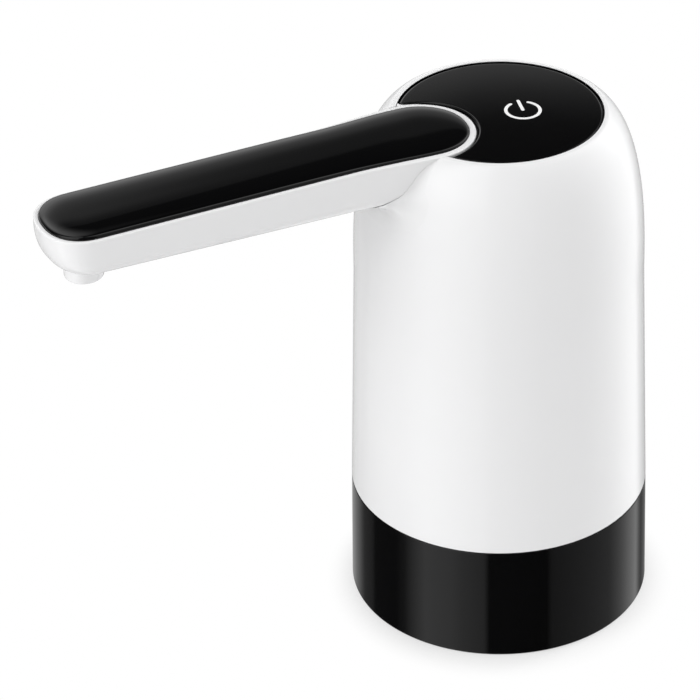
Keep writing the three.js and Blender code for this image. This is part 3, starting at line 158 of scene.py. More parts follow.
# Plastic, metal or rubber: a cloudy tint, uneven gloss, and bump from mould ripple and grain
def moulded(name, colour, rough, coat=0.0, shift=0.02, grain=0.0, grainScale=2500, ripple=0.0, metal=0.0):
    material, shader, place = newMaterial(name)
    dark = (*[max(0, c * (1 - shift)) for c in colour], 1)
    light = (*[min(1, c * (1 + shift)) for c in colour], 1)
    cloud = noise(place, texture["cloudScale"], texture["cloudDetail"])
    mixed(cloud, dark, light).feeds(shader, "Base Color")
    haze = noise(place, texture["hazeScale"], texture["hazeDetail"], texture["hazeRough"])
    (haze * (rough * texture["hazeShare"]) + rough * texture["hazeFoot"]).feeds(shader, "Roughness")
    shader.inputs["Coat Weight"].default_value = coat
    shader.inputs["Coat Roughness"].default_value = texture["coatRoughness"]
    shader.inputs["Metallic"].default_value = metal
    layers = ((texture["rippleScale"], 1, ripple), (grainScale, 2, grain))
    heights = [noise(place, scale, detail) * depth for scale, detail, depth in layers if depth]
    if heights:
        height = sum(heights[1:], heights[0])
        bump = height.node("Bump", sockets={"Strength": 1.0, "Distance": mm, "Height": height})
        bump.feeds(shader, "Normal")
    return material


# Corners and edges along a line of points
def drawn(bm, points, closed=True):
    corners = [bm.verts.new(point) for point in points]
    pairs = list(zip(corners, corners[1:]))
    if closed:
        pairs.append((corners[-1], corners[0]))
    return corners, [bm.edges.new(pair) for pair in pairs]


def revolved(profile, steps, closed=False, x=0, y=0):
    bm = bmesh.new()
    corners, edges = drawn(bm, [(r, 0, z) for r, z in profile], closed)
    bmesh.ops.spin(bm, geom=corners + edges, cent=(0, 0, 0), axis=(0, 0, 1),
                   angle=math.tau, steps=steps, use_merge=True)
    bmesh.ops.translate(bm, vec=(x, y, 0), verts=bm.verts)
    return bm


def lofted(rings, capLast=True):
    bm = bmesh.new()
    loops = [drawn(bm, ring)[1] for ring in rings]
    for lower, upper in zip(loops, loops[1:]):
        bmesh.ops.bridge_loops(bm, edges=lower + upper)
    bmesh.ops.edgeloop_fill(bm, edges=loops[0])
    if capLast:
        bmesh.ops.edgeloop_fill(bm, edges=loops[-1])
    return bm


weldDistance = 0.0005  # mm


def clean(bm):
    bmesh.ops.remove_doubles(bm, verts=bm.verts, dist=weldDistance)
    bmesh.ops.dissolve_degenerate(bm, edges=bm.edges, dist=weldDistance)
    bmesh.ops.recalc_face_normals(bm, faces=bm.faces)


# Pieces are drawn in millimetres over the foot and stand in metres round the frame's origin
def toFrame(bm):
    bmesh.ops.scale(bm, vec=(mm, mm, mm), verts=bm.verts)
    bmesh.ops.translate(bm, vec=(0, 0, -neckSeat * mm), verts=bm.verts)


def fromFrame(bm):
    bmesh.ops.translate(bm, vec=(0, 0, neckSeat * mm), verts=bm.verts)
    bmesh.ops.scale(bm, vec=(1 / mm, 1 / mm, 1 / mm), verts=bm.verts)


def asObject(bm, name):
    clean(bm)
    toFrame(bm)
    mesh = bpy.data.meshes.new(name)
    bm.to_mesh(mesh)
    bm.free()
    thing = bpy.data.objects.new(name, mesh)
    scene.collection.objects.link(thing)
    return thing


# Cuts the tools out of a piece and removes them
def carved(thing, *tools):
    for tool in tools:
        cutter = thing.modifiers.new("cut", "BOOLEAN")
        cutter.operation = "DIFFERENCE"
        cutter.solver = "EXACT"
        cutter.object = tool
    graph = bpy.context.evaluated_depsgraph_get()
    mesh = bpy.data.meshes.new_from_object(thing.evaluated_get(graph))
    thing.modifiers.clear()
    thing.data = mesh
    for tool in tools:
        bpy.data.objects.remove(tool)
    return thing


sharpAngle = 32  # degrees


# Gives a piece its material and smooth shading, and hands it to its body in place of the nodes
def finished(thing, body, slotName, material, *nodes):
    mesh = thing.data
    mesh.materials.clear()
    mesh.materials.append(material)
    mesh.shade_smooth()
    mesh.set_sharp_from_angle(angle=math.radians(sharpAngle))
    even = thing.modifiers.new("evenNormals", "WEIGHTED_NORMAL")
    even.keep_sharp = True
    even.weight = 50
    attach(thing, body)
    if nodes:
        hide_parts(*nodes)
    return thing


# Angles in radians from one turn to another, both in degrees
def roundOver(turnFrom, turnTo, steps):
    return [math.radians(turnFrom + (turnTo - turnFrom) * i / steps) for i in range(steps + 1)]


# 0 to 1 with a soft start and end
def eased(value):
    t = min(max(value, 0), 1)
    return t * t * (3 - 2 * t)


white = moulded("whiteShell", (0.84, 0.84, 0.845), 0.06, coat=0.25, shift=0.004)
blackCollar = moulded("blackCollar", (0.0014, 0.0014, 0.0016), 0.06, shift=0.2, ripple=0.001)
blackCover = moulded("blackCover", (0.0014, 0.0014, 0.0016), 0.05, shift=0.2, ripple=0.0005)
blackKey = moulded("blackKey", (0.0014, 0.0014, 0.0016), 0.11, shift=0.2)
symbolWhite = moulded("symbolWhite", (0.9, 0.9, 0.9), 0.3, shift=0.01)
print("finishes made")


collar = {
    "steps": 224,
    "foot": 36.85,
    "footEdge": 0.4,
    "footSteps": 5,
    "seam": 36.4,
    "seamEdge": 0.25,
    "seamSteps": 4,
    "height": 30.0,
    "skirt": 35.2,
    "floor": 2.2,
    "sleeveOuter": 30.4,
    "sleeveTop": 23.3,
    "sleeveBore": 27.9,
    "grooveDepth": 1.0,
    "grooveLow": 4.5,
    "grooveHigh": 14.9,
    "leadIn": 1.0,
}


def makeCollar(size):
    edge, foot = size["footEdge"], size["foot"]
    bore, groove = size["sleeveBore"], size["sleeveBore"] + size["grooveDepth"]
    profile = [(bore + size["leadIn"], 0)]
    for a in roundOver(0, 90, size["footSteps"]):
        profile.append((foot - edge + edge * math.sin(a), edge - edge * math.cos(a)))
    soft, top, rim = size["seamEdge"], size["height"], size["seam"]
    for a in roundOver(0, 90, size["seamSteps"]):
        profile.append((rim - soft + soft * math.cos(a), top - soft + soft * math.sin(a)))
    profile += [
        (size["skirt"], top),
        (size["skirt"], size["floor"]),
        (size["sleeveOuter"], size["floor"]),
        (size["sleeveOuter"], size["sleeveTop"]),
        (bore, size["sleeveTop"]),
        (bore, size["grooveHigh"]),
        (groove, size["grooveHigh"]),
        (groove, size["grooveLow"]),
        (bore, size["grooveLow"]),
        (bore, size["leadIn"]),
    ]
    thing = asObject(revolved(profile, size["steps"], closed=True), "collarShell")
    return finished(thing, "housing", "black_collar", blackCollar, "base_collar")


makeCollar(collar)
print("collar made")


# The arm's outlines serve its shell, its cover, the pocket and the saddle
arm = {
    "rearCentre": 20.65,
    "rearRadius": 13.2,
    "halfWidth": 11.6,
    "flareEnd": 43.0,
    "tipCentre": 104.5,
    "tipReach": 10.8,
    "top": 131.45,
    "rootDepth": 11.5,
    "tipDepth": 9.65,
    "edge": 3.0,
    "closure": 0.86,  # share of the depth at which the tip would close
    "tipPower": 2.95,  # how full the tip is from the side
    "planPower": 2.27,  # how full it is from above
    "arcSteps": 26,
    "flareSteps": 10,
    "sideSteps": 14,
    "edgeSteps": 9,
    "wallSteps": 10,
    "rimSide": 1.0,
    "rimRear": 1.6,
    "rimTip": 1.2,
    "rimEdge": 0.35,
    "rimSteps": 4,
    "innerEdge": 0.2,
    "innerSteps": 3,
    "rearDrop": 0.3,  # the rear end lies this much lower than the rest
    "dropFrom": 32.0,
    "dropLength": 20.0,
    "coverSeat": 1.5,
    "seatGap": 0.1,
    "wall": 2.2,
    "floor": 1.6,
    "hollowTip": 0.4,
    "hollowTaper": 1.0,
    "hollowTaperTip": 5.0,
    "hollowRise": 1.5,
}


# The arm from above: its rear end, its flare, its side and its tip, then the other half, towards -x
def armOutline(rear, half, reach):
    points = []
    for a in roundOver(0, 90, arm["arcSteps"]):
        points.append((arm["rearCentre"] - rear * math.cos(a), rear * math.sin(a)))
    for i in range(1, arm["flareSteps"] + 1):
        t = i / arm["flareSteps"]
        along = arm["rearCentre"] + (arm["flareEnd"] - arm["rearCentre"]) * t
        points.append((along, rear + (half - rear) * eased(t)))
    for i in range(1, arm["sideSteps"]):
        t = i / arm["sideSteps"]
        points.append((arm["flareEnd"] + (arm["tipCentre"] - arm["flareEnd"]) * t, half))
    for a in roundOver(0, 90, arm["arcSteps"]):
        points.append((arm["tipCentre"] + reach * math.sin(a) ** (2 / arm["planPower"]),
                       half * max(0, math.cos(a)) ** (2 / arm["planPower"])))
    points[-1] = (points[-1][0], 0)
    points += [(u, -w) for u, w in reversed(points[1:-1])]
    return [(-u, w) for u, w in points]


def armDepth(x):
    slope = (arm["rootDepth"] - arm["tipDepth"]) / (arm["tipCentre"] - arm["rearCentre"])
    return min(arm["rootDepth"], arm["tipDepth"] + slope * (arm["tipCentre"] + x))


# The arm's outline at a share of its depth, with the rounded lower edge and the closing tip
def armLevel(share, inset=0.0, floorInset=0.0):
    into = max(0, arm["edge"] - (1 - share) * arm["tipDepth"])
    tuck = arm["edge"] - math.sqrt(arm["edge"] ** 2 - into ** 2)
    closure = (1 - (share * arm["closure"]) ** arm["tipPower"]) ** (1 / arm["tipPower"])
    outline = armOutline(arm["rearRadius"] - inset - tuck, arm["halfWidth"] - inset - tuck,
                         (arm["tipReach"] - inset) * closure)
    return [(x, y, arm["top"] - share * (armDepth(x) - floorInset)) for x, y in outline]


def armShares():
    edgeShare = arm["edge"] / arm["tipDepth"]
    low = [1 - edgeShare * (1 - math.cos(a)) for a in roundOver(0, 90, arm["edgeSteps"])]
    high = [(1 - edgeShare) * (1 - i / arm["wallSteps"]) for i in range(1, arm["wallSteps"])]
    return low + high


# Lowers the rear end
def settled(rings):
    start, length, drop = arm["dropFrom"], arm["dropLength"], arm["rearDrop"]
    return [[(x, y, z - drop * eased((start + x) / length)) for x, y, z in ring] for ring in rings]


def rimRing(t, drop):
    outer = (arm["rearRadius"], arm["halfWidth"], arm["tipReach"])
    rims = (arm["rimRear"], arm["rimSide"], arm["rimTip"])
    sizes = [size - rim * t for size, rim in zip(outer, rims)]
    return [(x, y, arm["top"] - drop) for x, y in armOutline(*sizes)]


def makeArm():
    rings = [armLevel(share) for share in armShares()]
    edge, inner, rim = arm["rimEdge"], arm["innerEdge"], arm["rimSide"]
    for a in roundOver(0, 90, arm["rimSteps"]):
        rings.append(rimRing(edge * (1 - math.cos(a)) / rim, edge * (1 - math.sin(a))))
    for a in roundOver(0, 90, arm["innerSteps"]):
        rings.append(rimRing(1 - inner * (1 - math.sin(a)) / rim, inner * (1 - math.cos(a))))
    seat = arm["coverSeat"] + arm["seatGap"]
    rings.append(rimRing(1, seat))
    rear, half, reach = (arm[name] - arm["wall"] for name in ("rearRadius", "halfWidth", "tipReach"))
    rings.append([(x, y, arm["top"] - seat) for x, y in armOutline(rear, half, reach - arm["hollowTip"])])
    taper, rise = arm["hollowTaper"], arm["floor"] + arm["hollowRise"]
    narrow = armOutline(rear - taper, half - taper, reach - arm["hollowTaperTip"])
    rings.append([(x, y, arm["top"] - armDepth(x) + rise) for x, y in narrow])
    thing = asObject(lofted(settled(rings)), "spoutArm")
    return finished(thing, "housing", "white_shell", white, "spout_shell")


makeArm()
print("spout arm made")


cover = {
    "crown": 1.27,
    "rearCrown": 0.95,
    "crownLength": 38.0,  # from the rear centre to where the full crown begins
    "power": 3.4,  # higher is flatter in the middle
    "rearPower": 3.0,
    "edge": 0.3,
    "edgeSteps": 4,
    "startTurn": 18,
    "steps": 26,
    "gap": 0.05,
}


# One ring of the inlay, from its edge at 0 to its spine at 1
def coverRing(share):
    sizes = (arm["rearRadius"] - arm["rimRear"] - cover["gap"],
             arm["halfWidth"] - arm["rimSide"] - cover["gap"],
             arm["tipReach"] - arm["rimTip"] - cover["gap"])
    points = []
    for x, y in armOutline(*sizes):
        spine = min(max(x, -arm["tipCentre"]), -arm["rearCentre"])
        blend = eased((-x - arm["rearCentre"]) / cover["crownLength"])
        crown = cover["rearCrown"] + (cover["crown"] - cover["rearCrown"]) * blend
        power = cover["rearPower"] + (cover["power"] - cover["rearPower"]) * blend
        inward = min(1, share * sizes[1] / cover["edge"])
        lip = cover["edge"] * (math.sqrt(1 - (1 - inward) ** 2) - 1)
        rise = crown * (1 - (1 - share) ** power) ** (1 / power) + lip
        points.append((x + (spine - x) * share, y * (1 - share), arm["top"] + rise))
    return points


def makeCover():
    foot = [(x, y, arm["top"] - arm["coverSeat"]) for x, y, _ in coverRing(0)]
    half = arm["halfWidth"]
    shares = [cover["edge"] / half * (1 - math.cos(a)) for a in roundOver(0, 90, cover["edgeSteps"])]
    shares += [1 - math.cos(a) for a in roundOver(cover["startTurn"], 90, cover["steps"])]
    rings = [foot] + [coverRing(share) for share in shares]
    thing = asObject(lofted(settled(rings), capLast=False), "armInlay")
    return finished(thing, "housing", "black_cover", blackCover, "spout_cover")


makeCover()
print("arm cover made")


housing = {
    "steps": 256,
    "seam": 36.4,
    "seamHeight": 30.15,
    "seamEdge": 0.25,
    "shoulder": 34.75,
    "shoulderHeight": 89.7,
    "crownRadius": 20.4,
    "crownHeight": 132.3,
    "radialPower": 2.724,
    "heightPower": 2.502,
    "lip": 25.5,
    "lipEdge": 0.15,
    "recess": 24.45,
    "recessShift": (0.2, -0.1),  # the key and its recess sit this far off the axis
    "shelf": 127.25,
    "shelfThickness": 1.6,
    "wall": 2.2,
    "ceiling": 22.5,
    "spigot": 35.1,
    "spigotBore": 33.6,
    "spigotFoot": 25.9,
    "seamSteps": 4,
    "wallSteps": 12,
    "domeSteps": 56,
    "lipSteps": 5,
    "ceilingSteps": 20,
    "pocketGap": 0.1,
    "pocketHead": 4.0,  # how far the cut for the arm reaches over it
    "slack": 0.01,
}

socket = {
    "width": 9.6,
    "height": 3.8,
    "corner": 1.6,
    "rise": 39.8,
    "mouth": 34.0,
    "lead": 0.35,
    "leadStart": 18,
    "leadSteps": 4,
    "cornerSteps": 8,
    "inside": 6.0,
    "outside": 3.0,
}


# From the wall at its foot up to where the dome's radius is down to the end
def domeLine(flat, side, foot, top, end, steps):
    radial, upright = housing["radialPower"], housing["heightPower"]
    last = math.acos(((end - flat) / (side - flat)) ** (radial / 2))
    points = []
    for i in range(steps + 1):
        a = last * i / steps
        radius = flat + (side - flat) * math.cos(a) ** (2 / radial)
        height = foot + (top - foot) * math.sin(a) ** (2 / upright)
        points.append((radius, height))
    return points


def slotRing(x, grow):
    w, h, c = (socket[name] for name in ("width", "height", "corner"))
    points = []
    for turn, side, up in ((0, 1, 1), (90, -1, 1), (180, -1, -1), (270, 1, -1)):
        for a in roundOver(turn, turn + 90, socket["cornerSteps"]):
            points.append((x, side * (w / 2 - c) + (c + grow) * math.cos(a),
                           socket["rise"] + up * (h / 2 - c) + (c + grow) * math.sin(a)))
    return points


def socketCutter(skin):
    lead = socket["lead"]
    rings = [slotRing(socket["mouth"] - socket["inside"], 0), slotRing(skin - lead, 0)]
    for a in roundOver(socket["leadStart"], 90, socket["leadSteps"]):
        rings.append(slotRing(skin - lead + lead * math.sin(a), lead * (1 - math.cos(a))))
    rings.append(slotRing(skin + socket["outside"], lead))
    return asObject(lofted(rings), "socketCutter")


def pocketCutter():
    gap = housing["pocketGap"]
    rings = [armLevel(share, -gap, -gap) for share in armShares()]
    rings.append([(x, y, arm["top"] + housing["pocketHead"]) for x, y, _ in rings[-1]])
    return asObject(lofted(rings), "pocketCutter")


def makeHousing(size):
    dome = domeLine(size["crownRadius"], size["shoulder"], size["shoulderHeight"],
                    size["crownHeight"], size["lip"], size["domeSteps"])
    lip = dome[-1][1]
    soft, seam, foot = size["seamEdge"], size["seam"], size["seamHeight"]
    profile = [(size["spigot"], size["spigotFoot"]), (size["spigot"], foot)]
    for a in roundOver(0, 90, size["seamSteps"]):
        profile.append((seam - soft + soft * math.sin(a), foot + soft - soft * math.cos(a)))
    rise = size["shoulderHeight"] - foot - soft
    for i in range(1, size["wallSteps"]):
        t = i / size["wallSteps"]
        profile.append((seam + (size["shoulder"] - seam) * t, foot + soft + rise * t))
    profile += dome
    edge, recess, shelf, slack = size["lipEdge"], size["recess"], size["shelf"], size["slack"]
    for a in roundOver(0, 90, size["lipSteps"]):
        profile.append((recess + edge - edge * math.sin(a), lip - edge + edge * math.cos(a)))
    profile += [(recess, shelf), (0, shelf), (0, shelf - size["shelfThickness"])]
    ceiling = domeLine(size["ceiling"], size["shoulder"] - size["wall"], size["shoulderHeight"],
                       shelf - size["shelfThickness"], size["ceiling"] + slack, size["ceilingSteps"])
    profile += reversed(ceiling)
    profile += [(size["spigotBore"], foot), (size["spigotBore"], size["spigotFoot"])]
    bm = revolved(profile, size["steps"], closed=True)
    recessed = [v for v in bm.verts if v.co.z > shelf - slack and v.co.xy.length < recess + edge + slack]
    bmesh.ops.translate(bm, vec=(*size["recessShift"], 0), verts=recessed)
    shell = asObject(bm, "housingShell")
    wall = seam + (size["shoulder"] - seam) * (socket["rise"] - foot) / (size["shoulderHeight"] - foot)
    carved(shell, pocketCutter(), socketCutter(wall))
    return finished(shell, "housing", "white_shell", white, "main_housing")


makeHousing(housing)
print("housing made")


# The housing swells to meet the arm: reach along the arm, from its rim down its side and under it
saddle = {
    # height and reach on the sides, degrees and reach round the lower edge
    "sideReach": [(130.9, 0.15), (130.3, 0.7), (129.4, 1.2), (128.2, 1.5), (126.5, 1.85), (125.3, 2.1),
                  (124.35, 2.45), (123.6, 3.0), (123.0, 3.6)],
    "turnReach": [(12, 4.4), (24, 5.2), (38, 6.2), (54, 7.2), (72, 7.7), (90, 8.0)],
    "underReach": 8.0,
    "underSteps": 8,
    "wallShare": 1.15,  # reach down the housing, as a share of that along the arm
    "lift": 0.17,  # off the arm's skin
    "lap": 0.04,  # into the housing
    "round": 0.62,
    "steps": 12,
    "tuck": 0.6,  # how far the edge on the arm sinks in, as a share of the lift
    "nearFoot": 0.98,  # share of the way down where a second point gives the foot its direction
    "backSet": 0.9,  # its hidden edge, inside the housing
    "backLift": 0.12,
    "startX": -30.0,
    "passes": 12,
}


def housingRadius(z):
    size = housing
    share = (z - size["shoulderHeight"]) / (size["crownHeight"] - size["shoulderHeight"])
    rise = max(0, share) ** (size["heightPower"] / 2)
    reach = (1 - rise * rise) ** (1 / size["radialPower"])
    return size["crownRadius"] + (size["shoulder"] - size["crownRadius"]) * reach


def onHousing(y, z, lap=0.0):
    return Vector((-math.sqrt((housingRadius(z) - lap) ** 2 - y * y), y, z))


def armWidth(x):
    flared = eased((-x - arm["rearCentre"]) / (arm["flareEnd"] - arm["rearCentre"]))
    return arm["rearRadius"] + (arm["halfWidth"] - arm["rearRadius"]) * flared


# Stations round the arm's section, each a place on it as a function of x, and the way out of it
def saddleStations():
    edge, under = arm["edge"], saddle["underReach"]

    def low(x):
        return arm["top"] - armDepth(x)

    stations = []
    for z, reach in saddle["sideReach"]:
        stations.append((reach, lambda x, z=z: (-armWidth(x), z), (-1.0, 0.0)))
    for turn, reach in saddle["turnReach"]:
        c, s = math.cos(math.radians(turn)), math.sin(math.radians(turn))
        place = lambda x, c=c, s=s: (edge * (1 - c) - armWidth(x), low(x) + edge * (1 - s))
        stations.append((reach, place, (-c, -s)))
    for i in range(1, saddle["underSteps"] + 1):
        share = 1 - i / saddle["underSteps"]
        stations.append((under, lambda x, share=share: ((edge - armWidth(x)) * share, low(x)), (0.0, -1.0)))
    return stations


# A soft curve from the arm's skin down to the housing, at one station
def saddleRing(reach, section, out):
    x = saddle["startX"]
    for _ in range(saddle["passes"]):  # where the arm's skin meets the housing
        x = onHousing(*section(x)).x
    corner = Vector((x, *section(x)))
    way = Vector((0, *out))
    tip = Vector((x - reach, *section(x - reach))) + way * saddle["lift"]
    down = reach * saddle["wallShare"]
    sides = [(corner.y + out[0] * down * share, corner.z + out[1] * down * share)
             for share in (1, saddle["nearFoot"])]
    foot, near = (onHousing(*side, saddle["lap"]) for side in sides)
    along = (corner + way * saddle["lift"] - tip) * saddle["round"]
    up = (near - foot).normalized() * (corner - foot).length * saddle["round"]
    points = [tip - way * saddle["lift"] * saddle["tuck"]]
    for i in range(saddle["steps"] + 1):
        t = i / saddle["steps"]
        points.append(tip * (1 - t) ** 3 + (tip + along) * 3 * t * (1 - t) ** 2
                      + (foot + up) * 3 * t * t * (1 - t) + foot * t ** 3)
    points.append(corner + Vector((saddle["backSet"], 0, 0)) + way * saddle["backLift"])
    return points


def makeSaddle():
    near = [saddleRing(*station) for station in saddleStations()]
    far = [[Vector((p.x, -p.y, p.z)) for p in ring] for ring in reversed(near[:-1])]
    thing = asObject(lofted(near + far), "armSaddle")
    return finished(thing, "housing", "white_shell", white)


makeSaddle()
print("saddle made")


key = {
    "radius": 24.0,
    "bite": 13.85,
    "top": 131.0,
    "thickness": 2.0,
    "crown": 0.5,
    "edge": 0.6,
    "edgeDrop": 0.25,
    "edgeSteps": 6,
    "biteEdge": 0.35,
    "flange": 0.2,
    "biteFlange": 0.35,
    "biteFlangeDrop": 0.45,
    "flangeDrop": 0.75,
    "corner": 1.15,
    "nearCorner": 0.75,
    "cornerSteps": 12,
    "biteSteps": 48,
    "cutLength": 34.0,  # reach of the bite's cutter along the arm, to its sides, past the corner and up
    "cutSide": 24.0,
    "cutCorner": 4.0,
    "cutHeight": 4.0,
    "rings": 26,
    "steps": 240,
}

# Painted shade: sizes of the black sleeve that stands in for the shadow in the gap round the key
gapShadeSleeve = {
    "inner": 24.3,
    "outer": 24.47,
    "foot": 127.3,
    "head": 131.1,
    "floorInner": 17.0,
    "floor": 127.45,
    "steps": 240,
}


# Painted shade: a thin black sleeve with a floor that darkens the gap round the key, standing in for the
# shadow deep in that gap
def makeGapShadeSleeve(size):
    inner, outer, foot, floor = size["inner"], size["outer"], size["foot"], size["floor"]
    profile = [(size["floorInner"], foot), (outer, foot), (outer, size["head"]),
               (inner, size["head"]), (inner, floor), (size["floorInner"], floor)]
    x, y = housing["recessShift"]
    ring = asObject(revolved(profile, size["steps"], closed=True, x=x, y=y), "keyGapShade")
    carved(ring, pocketCutter())
    return finished(ring, "housing", "black_collar", blackCollar)


# What the arm's end and the rounded corner take away from one half of the key, smaller by the inset
def biteHalf(inset, corner):
    bite, apart = key["bite"], arm["rearCentre"]
    far, near = key["radius"] - corner, bite + corner
    x = (near * near - far * far - apart * apart) / (2 * apart)
    y = math.sqrt(far * far - x * x)
    outward = math.atan2(y, x)
    inward = math.atan2(-y, -apart - x) + math.tau
    beyond = corner + key["cutCorner"]
    half = [(-key["cutLength"], 0.0), (-key["cutLength"], key["cutSide"])]
    half.append((x + beyond * math.cos(outward), y + beyond * math.sin(outward)))
    for i in range(key["cornerSteps"] + 1):
        a = outward + (inward - outward) * i / key["cornerSteps"]
        half.append((x + (corner - inset) * math.cos(a), y + (corner - inset) * math.sin(a)))
    start = math.atan2(y, x + apart)
    for i in range(1, key["biteSteps"] + 1):
        a = start * (1 - i / key["biteSteps"])
        half.append((-apart + (bite + inset) * math.cos(a), (bite + inset) * math.sin(a)))
    return half


def biteOutline(inset):
    far, near = biteHalf(inset, key["corner"]), biteHalf(inset, key["nearCorner"])
    return far + [(u, -v) for u, v in reversed(near[1:-1])]


horn = {
    "gap": 0.4,
    "thinning": 1.5,  # how much the land beside the arm loses towards the rear
    "foot": 127.3,
    "head": 131.25,
    "trimGap": 0.05,  # past the painted-shade sleeve in the gap, where the land ends
    "trimReach": 60,
    "trimHeight": 5,
    "slack": 0.01,
}


# White land between the arm's far flank and the key's corner, level with the housing's lip
def makeHorn(size):
    reach = key["bite"] - size["gap"]
    outline = []
    for x, y in biteHalf(-size["gap"], key["corner"]):
        across, apart = x + arm["rearCentre"], math.hypot(x + arm["rearCentre"], y)
        if apart < reach + size["slack"]:
            less = 1 - size["thinning"] * (1 - y / apart) / apart
            x, y = across * less - arm["rearCentre"], y * less
        outline.append((x, y))
    rings = [[(x, y, size[z]) for x, y in outline] for z in ("foot", "head")]
    land = asObject(lofted(settled(rings)), "keyHorn")
    inner, outer = gapShadeSleeve["outer"] + size["trimGap"], size["trimReach"]
    low, high = gapShadeSleeve["head"] - size["trimHeight"], gapShadeSleeve["head"] + size["trimHeight"]
    profile = [(inner, low), (outer, low), (outer, high), (inner, high)]
    x, y = housing["recessShift"]
    trim = asObject(revolved(profile, gapShadeSleeve["steps"], closed=True, x=x, y=y), "trim")
    carved(land, trim, pocketCutter())
    return finished(land, "housing", "white_shell", white)


# Lifts what is near the top into the key's shallow dome
def crowned(bm, foot):
    for v in bm.verts:
        share = 1 - (v.co.x ** 2 + v.co.y ** 2) / key["radius"] ** 2
        v.co.z += key["crown"] * share * min(1, max(0, (v.co.z - foot) / (key["top"] - foot)))


def makeKey(size):
    radius, edge, fall, top = size["radius"], size["edge"], size["edgeDrop"], size["top"]
    foot = top - size["thickness"]
    flange, shelf = size["flange"], top - size["flangeDrop"]
    turns = roundOver(0, 90, size["edgeSteps"])
    profile = [(0, foot), (radius + flange, foot), (radius + flange, shelf), (radius, shelf)]
    profile += [(radius - edge + edge * math.cos(a), top - fall + fall * math.sin(a)) for a in turns]
    profile += [((radius - edge) * (1 - i / size["rings"]), top) for i in range(1, size["rings"] + 1)]
    x, y = housing["recessShift"]
    plate = asObject(revolved(profile, size["steps"], x=x, y=y), "keyPlate")
    flange, shelf = size["biteFlange"], top - size["biteFlangeDrop"]
    levels = [(-flange, foot - size["cutHeight"]), (-flange, shelf), (0, shelf)]
    edge = size["biteEdge"]
    levels += [(edge - edge * math.cos(a), top - fall + fall * math.sin(a)) for a in turns]
    levels.append((edge, top + size["cutHeight"]))
    cutter = lofted([[(x, y, z) for x, y in biteOutline(inset)] for inset, z in levels])
    carved(plate, asObject(cutter, "bite"))
    bm = bmesh.new()
    bm.from_mesh(plate.data)
    fromFrame(bm)
    crowned(bm, foot)
    toFrame(bm)
    bm.to_mesh(plate.data)
    bm.free()
    return finished(plate, "key", "black_key", blackKey, "power_key")


symbol = {
    "x": 4.99,
    "y": -2.62,
    "turn": -13.5,  # degrees
    "radius": 4.0,
    "stroke": 0.8,
    "gap": 64.0,  # degrees
    "barFoot": 0.1,
    "barHead": 4.6,
    "proud": 0.02,
    "depth": 1.2,
    "arcSteps": 72,
    "endSteps": 12,
}


def strokeStrip(bm, radius, start, end, steps):
    half = symbol["stroke"] / 2
    places = [radius - half, radius, radius + half]
    corners, edges = drawn(bm, [(r, 0, 0) for r in places], closed=False)
    bmesh.ops.rotate(bm, verts=corners, matrix=Matrix.Rotation(start, 3, "Z"))
    bmesh.ops.spin(bm, geom=corners + edges, axis=(0, 0, 1), angle=end - start, steps=steps)


def placed(bm):
    for v in bm.verts:
        v.tag = True


# A half disc that closes a stroke; what stands already is tagged as placed
def roundEnd(bm, x, y, facing):
    corners, edges = drawn(bm, [(0, 0, 0), (symbol["stroke"] / 2, 0, 0)], closed=False)
    bmesh.ops.spin(bm, geom=corners + edges, axis=(0, 0, 1), angle=math.pi, steps=symbol["endSteps"])
    fresh = [v for v in bm.verts if not v.tag]
    bmesh.ops.rotate(bm, verts=fresh, matrix=Matrix.Rotation(facing, 3, "Z"))
    bmesh.ops.translate(bm, vec=(x, y, 0), verts=fresh)
    placed(bm)


def makeSymbol(size):
    bm = bmesh.new()
    start = math.radians(90 + size["gap"] / 2)
    end = math.radians(450 - size["gap"] / 2)
    strokeStrip(bm, size["radius"], start, end, size["arcSteps"])
    placed(bm)
    for a, facing in ((start, start + math.pi), (end, end)):
        roundEnd(bm, size["radius"] * math.cos(a), size["radius"] * math.sin(a), facing)
    half = size["stroke"] / 2
    low, high = (drawn(bm, [(x, size[name], 0) for x in (-half, 0, half)], closed=False)[1]
                 for name in ("barFoot", "barHead"))
    bmesh.ops.bridge_loops(bm, edges=low + high)
    placed(bm)
    roundEnd(bm, 0, size["barHead"], 0)
    roundEnd(bm, 0, size["barFoot"], math.pi)
    bmesh.ops.remove_doubles(bm, verts=bm.verts, dist=weldDistance)
    solid = bmesh.ops.extrude_face_region(bm, geom=bm.faces[:])
    lowered = [v for v in solid["geom"] if isinstance(v, bmesh.types.BMVert)]
    bmesh.ops.translate(bm, vec=(0, 0, -size["depth"]), verts=lowered)
    bmesh.ops.rotate(bm, verts=bm.verts, matrix=Matrix.Rotation(math.radians(size["turn"]), 3, "Z"))
    bmesh.ops.translate(bm, vec=(size["x"], size["y"], key["top"] + size["proud"]), verts=bm.verts)
    crowned(bm, key["top"] - key["thickness"])
    thing = asObject(bm, "symbolStrokes")
    return finished(thing, "key", "symbol_white", symbolWhite, "symbol_light_guide")


makeGapShadeSleeve(gapShadeSleeve)
makeHorn(horn)
makeKey(key)
makeSymbol(symbol)
print("key and symbol made")


nozzle = {
    "x": -105.2,
    "radius": 4.6,
    "foot": 116.3,
    "edge": 0.8,
    "edgeSteps": 6,
    "head": 123.4,
    "bore": 3.5,
    "boreEdge": 0.3,
    "boreSteps": 3,
    "depth": 3.0,
    "steps": 96,
}


